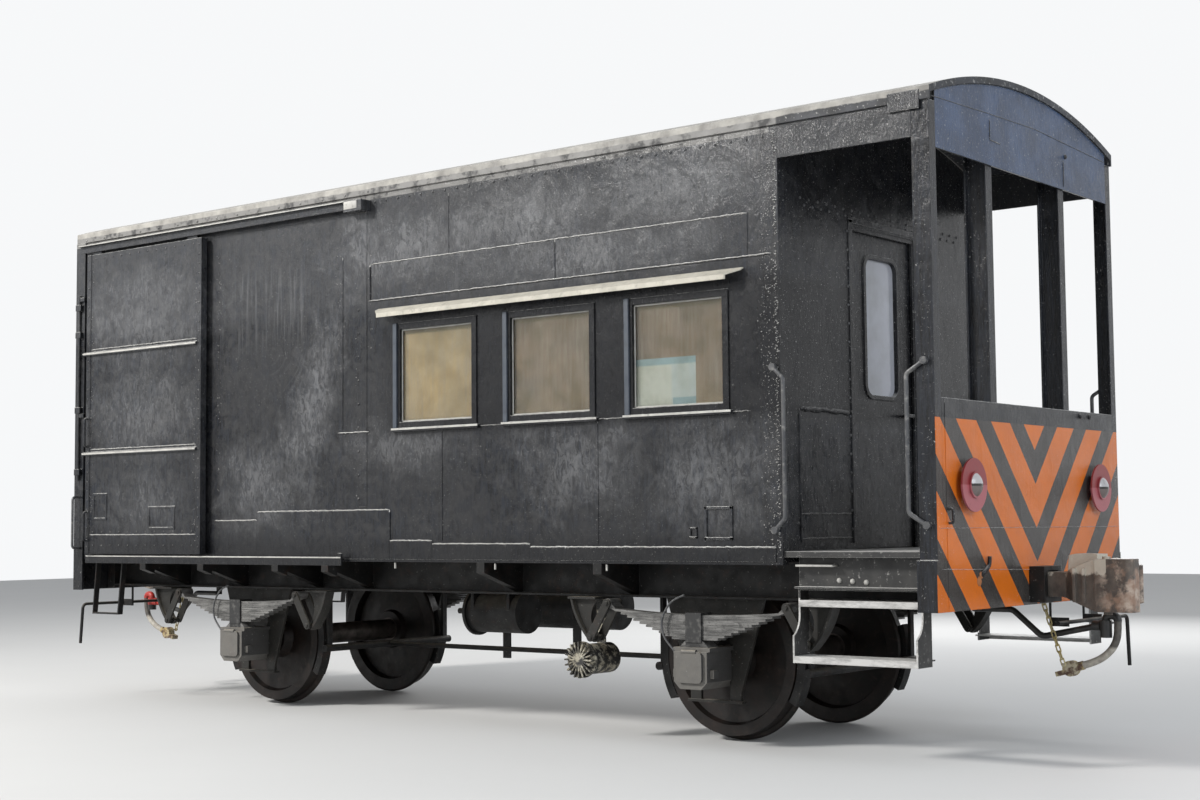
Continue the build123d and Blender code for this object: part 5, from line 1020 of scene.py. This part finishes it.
# faint seams on the end panel, then pale and black ones on the fascia, each with how far out, width, rise
PANEL_SEAMS = ((-1.09, 1.155, 1.09, 1.150), (-1.09, 0.955, 0.10, 0.925), (-1.02, 0.76, -1.02, 1.79))
PANEL_SIZE = (0, 0.006, 0.0025)
FASCIA_PALE = ((-1.09, 3.298, -0.45, 3.318), (-0.45, 3.318, 0.10, 3.330), (0.10, 3.330, 1.05, 3.290))
PALE_SIZE = (0, 0.005, 0.003)
FASCIA_BLACK = ((-0.447, 3.290, -0.450, 3.180), (-0.450, 3.180, -0.325, 3.176), (0.468, 3.060, 0.468, 3.210))
BLACK_SIZE = (0, 0.009, 0.003)
# strips round the doorway: y from and to, heights from and to
DOORWAY = ((-0.405, -0.365, 1.075, 2.87), (0.365, 0.405, 1.075, 2.87), (-0.405, 0.405, 2.85, 2.885))
DOORWAY_RISE = 0.006
# bolts at the panel's top and a knob on the fascia: y, height, radius, rise
END_BOLTS = ((0.604, 1.773, 0.015, 0.012), (0.733, 1.774, 0.015, 0.012), (0.495, 3.237, 0.014, 0.012))
# a staple, and a short handle with rust below it: y, height, how far out
STAPLE = ((-1.000, 1.250, -0.002), (-1.000, 1.245, 0.022), (-1.000, 1.186, 0.022), (-1.000, 1.181, -0.002))
STAPLE_R = 0.007
HANDLE = ((-0.606, 1.010, 0.020), (-0.612, 0.965, 0.018), (-0.655, 0.930, 0.012), (-0.665, 0.915, -0.002))
HANDLE_R = 0.011
# y, height, radius, rise
END_RUST = ((-0.690, 0.885, 0.026, 0.007), (-0.668, 0.915, 0.020, 0.006))


def end_fittings():
    out = Vector((1, 0, 0))

    def on_wall(y, z, proud=0.0):
        return Vector((CABIN_END + proud, y, RAIL_Z + z))

    def on_end(y, z, proud=0.0):
        return Vector((BODY_END + proud, y, RAIL_Z + z))

    rivets = bmesh.new()
    rivet_rows(rivets, END_ROWS, on_wall, out, END_RIVET)
    # the grey finish on these rivets is a painted highlight
    make("cabin_end_rivets", rivets, finish="worn_grey")
    seams = bmesh.new()
    for number, (y0, z0, y1, z1, width, rise) in enumerate(END_SEAMS):
        bead(seams, on_wall(y0, z0), on_wall(y1, z1), out, width, rise, 90 + number, END_SEAM_STEP)
    make("cabin_end_seams", seams)
    trim = bmesh.new()
    for y0, y1, z0, z1 in DOORWAY:
        strip(trim, on_wall(y0, z0), on_wall(y1, z1), out, DOORWAY_RISE)
    make("doorway_strips", trim, smooth=False)

    faint = bmesh.new()
    beads(faint, PANEL_SEAMS, on_end, out, *PANEL_SIZE, 110)
    make("end_panel_seams", faint, "stripe_paint")
    pale, black = bmesh.new(), bmesh.new()
    beads(pale, FASCIA_PALE, on_end, out, *PALE_SIZE, 120)
    beads(black, FASCIA_BLACK, on_end, out, *BLACK_SIZE, 130)
    make("fascia_line", pale, finish="worn_grey")
    make("fascia_seams", black)

    bolts = bmesh.new()
    for y, z, size, rise in END_BOLTS:
        dome(bolts, on_end(y, z), out, size, rise)
    make("end_bolts", bolts)
    handles = bmesh.new()
    for points, radius in ((STAPLE, STAPLE_R), (HANDLE, HANDLE_R)):
        tube(handles, [on_end(*point) for point in points], radius)
    make("end_handles", handles)
    rust = bmesh.new()
    for y, z, size, rise in END_RUST:
        dome(rust, on_end(y, z), out, size, rise, sides=7)
    make("end_rust", rust, "coupler_steel", finish="rust_flakes")


# Door track: how far out its hood's edge, the stop at its end and the lower rail's top are

HOOD_OUT = DOOR_FACE + 0.008
STOP_OUT = DOOR_FACE + 0.014
RAIL_OUT = 1.1725
# pale strips, the first two painted highlights: left, bottom, right, top, how far out, rise, chamfer
TRACK_STRIPS = (
    (-3.385, 3.2365, -0.605, 3.2435, HOOD_OUT, *THIN_LINE),
    (-0.597, 3.186, -0.480, 3.236, STOP_OUT, 0.002, 0.002),
    (-3.295, 0.991, -0.655, 0.999, RAIL_OUT, *THIN_LINE),
)


def track_trim(side):
    """Painted highlights on the edge of the door track's hood and on the stop at its end, and the pale top of
    the lower rail.
    """
    word, out, at = which(side)
    pale = bmesh.new()
    for left, low, right, high, proud, rise, chamfer in TRACK_STRIPS:
        strip(pale, at(left, low, proud), at(right, high, proud), out, rise, chamfer)
    make(f"{word}_track_edges", pale, finish="pale_paint")


# Side channel below the deck's edge: the face of its web, a ledge with left, right, bottom, top, and bolts
CHANNEL_FACE = 1.030
LEDGE = (2.640, 2.860, 0.962, 0.973)
LEDGE_OUT = 0.055
CHANNEL_BOLTS = ((2.869, 0.892), (2.947, 0.889), (3.027, 0.885))
CHANNEL_BOLT = (0.014, 0.012)       # radius, rise

# Bent wires from the sole bar round each spring to its axle box: distance from the axle, height
BOX_WIRE = ((-0.044, 0.800), (-0.135, 0.758), (-0.194, 0.673), (-0.190, 0.578), (-0.113, 0.490))
BOX_WIRE_Y = 0.985
BOX_WIRE_R = 0.006


def running_fittings(side):
    word, out, at = which(side)
    wires = bmesh.new()
    for x in (-AXLE_X, AXLE_X):
        tube(wires, [at(x + along, z, BOX_WIRE_Y) for along, z in BOX_WIRE], BOX_WIRE_R)
    make(f"{word}_box_wires", wires, "gear_black", finish="worn_grey")
    step = bmesh.new()
    left, right, low, high = LEDGE
    strip(step, at(left, low, CHANNEL_FACE), at(right, high, CHANNEL_FACE), out, LEDGE_OUT)
    for x, z in CHANNEL_BOLTS:
        dome(step, at(x, z, CHANNEL_FACE), out, *CHANNEL_BOLT)
    make(f"{word}_step_ledge", step, "deck_grey", finish="pale_paint")


end_fittings()
for side in (-1, 1):
    window_trim(side)
    track_trim(side)
    running_fittings(side)


# Hoses: free rubber tubes from each swan neck to its coupling head

HOSE_DIAMETER = 0.040
HOSE_ROUTE = (
    (3.822, 0.23, 0.6777), (3.822, 0.23, 0.613), (3.802, 0.23, 0.548),
    (3.752, 0.23, 0.494), (3.685, 0.23, 0.456), (3.626, 0.23, 0.439),
)


def brake_hose(end, letter):
    curve = bpy.data.curves.new(f"hose_{letter}", "CURVE")
    curve.dimensions = "3D"
    spline = curve.splines.new("NURBS")
    spline.points.add(len(HOSE_ROUTE) - 1)
    for point, (x, y, z) in zip(spline.points, HOSE_ROUTE):
        point.co = (end * x, end * y, z, 1)
    spline.order_u = 3
    spline.use_endpoint_u = True
    spline.resolution_u = 12
    curve.bevel_depth = HOSE_DIAMETER / 2
    curve.bevel_resolution = 5
    curve.use_fill_caps = True
    curve.materials.append(MATERIALS["hose_rubber"])
    hose = stand(f"hose_{letter}", curve)
    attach(hose, "root")
    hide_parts(f"brake_hose_{letter}")
    x, y, z = HOSE_ROUTE[0]


brake_hose(-1, "a")
brake_hose(1, "b")


# Floor, light and camera

FLOOR_SIZE = 60


def pale_floor():
    mesh = bmesh.new()
    bmesh.ops.create_grid(mesh, x_segments=1, y_segments=1, size=FLOOR_SIZE / 2)
    data = bpy.data.meshes.new("floor")
    mesh.to_mesh(data)
    mesh.free()
    s = Surface()
    colour = s.blend(s.noise(0.6, 3), (0.62, 0.62, 0.61), (0.66, 0.66, 0.65))
    s.material.name = "floor_paint"
    data.materials.append(s.done(colour, 0.9))
    floor = stand("floor", data)


def backdrop():
    """Pale world: white to the camera, in metal and through glass, and plainer as light."""
    world = bpy.data.worlds.new("studio")
    bpy.context.scene.world = world
    world.use_nodes = True
    world.node_tree.nodes.clear()
    n = Nodes(world.node_tree)
    seen = n.add("Background", Color=(0.93, 0.94, 0.95), Strength=1.0)
    lighting = n.add("Background", Color=(0.92, 0.95, 1.0), Strength=0.44)
    rays = n.add("LightPath").outputs
    shown = rays["Is Camera Ray"]
    for ray in ("Is Glossy Ray", "Is Transmission Ray"):
        shown = n.operate("Math", "MAXIMUM", shown, rays[ray])[0]
    mix = n.add("MixShader", Fac=shown)
    n.put(mix.inputs[1], lighting.outputs[0])
    n.put(mix.inputs[2], seen.outputs[0])
    n.add("OutputWorld", Surface=mix.outputs[0])


def area_light(name, place, target, size, power, colour):
    light = bpy.data.lights.new(name, "AREA")
    light.shape = "RECTANGLE"
    light.size, light.size_y = size
    light.energy = power
    light.color = colour
    lamp = stand(name, light)
    lamp.location = place
    lamp.rotation_euler = (Vector(target) - Vector(place)).to_track_quat("-Z", "Y").to_euler()


# name, place, target, size, power, colour
LIGHTS = (
    ("key", (-6.5, -11.0, 9.5), (0.5, -1.0, 1.8), (2.4, 2.4), 2200, (1.0, 0.98, 0.95)),
    ("end_fill", (13.0, -3.0, 6.0), (3.4, 0, 1.8), (5, 5), 560, (0.86, 0.92, 1.0)),
    ("sheen", (-9.5, -10.0, 5.2), (0, -1.1, 2.4), (5, 0.5), 35, (0.93, 0.96, 1.0)),
    ("front_fill", (5.0, -14.0, 3.0), (1.0, 0, 1.5), (6, 3), 120, (1, 1, 1)),
    ("far_fill", (-2.0, 11.0, 6.0), (0, 0, 1.8), (8, 4), 600, (1, 1, 1)),
)

# The camera stands where the photograph's was: place, then yaw, pitch and roll in radians
CAMERA_PLACE = Vector((7.610, -8.969, RAIL_Z + 1.193))
CAMERA_YAW = 0.6700
CAMERA_PITCH = 0.0691
CAMERA_ROLL = -0.0091
CAMERA_LENS = 53.6


def photograph_camera():
    ahead = Vector((-math.sin(CAMERA_YAW) * math.cos(CAMERA_PITCH),
                    math.cos(CAMERA_YAW) * math.cos(CAMERA_PITCH), math.sin(CAMERA_PITCH)))
    right = Vector((math.cos(CAMERA_YAW), math.sin(CAMERA_YAW), 0))
    up = right.cross(ahead)
    right_rolled = math.cos(CAMERA_ROLL) * right + math.sin(CAMERA_ROLL) * up
    up_rolled = -math.sin(CAMERA_ROLL) * right + math.cos(CAMERA_ROLL) * up
    data = bpy.data.cameras.new("camera")
    data.lens = CAMERA_LENS
    data.sensor_width = 36
    data.clip_end = 200
    camera = stand("camera", data)
    turn = Matrix((right_rolled, up_rolled, -ahead)).transposed()
    camera.matrix_world = Matrix.Translation(CAMERA_PLACE) @ turn.to_4x4()
    bpy.context.scene.camera = camera


pale_floor()
backdrop()
for light in LIGHTS:
    area_light(*light)
photograph_camera()

bpy.context.scene.view_settings.view_transform = "Standard"
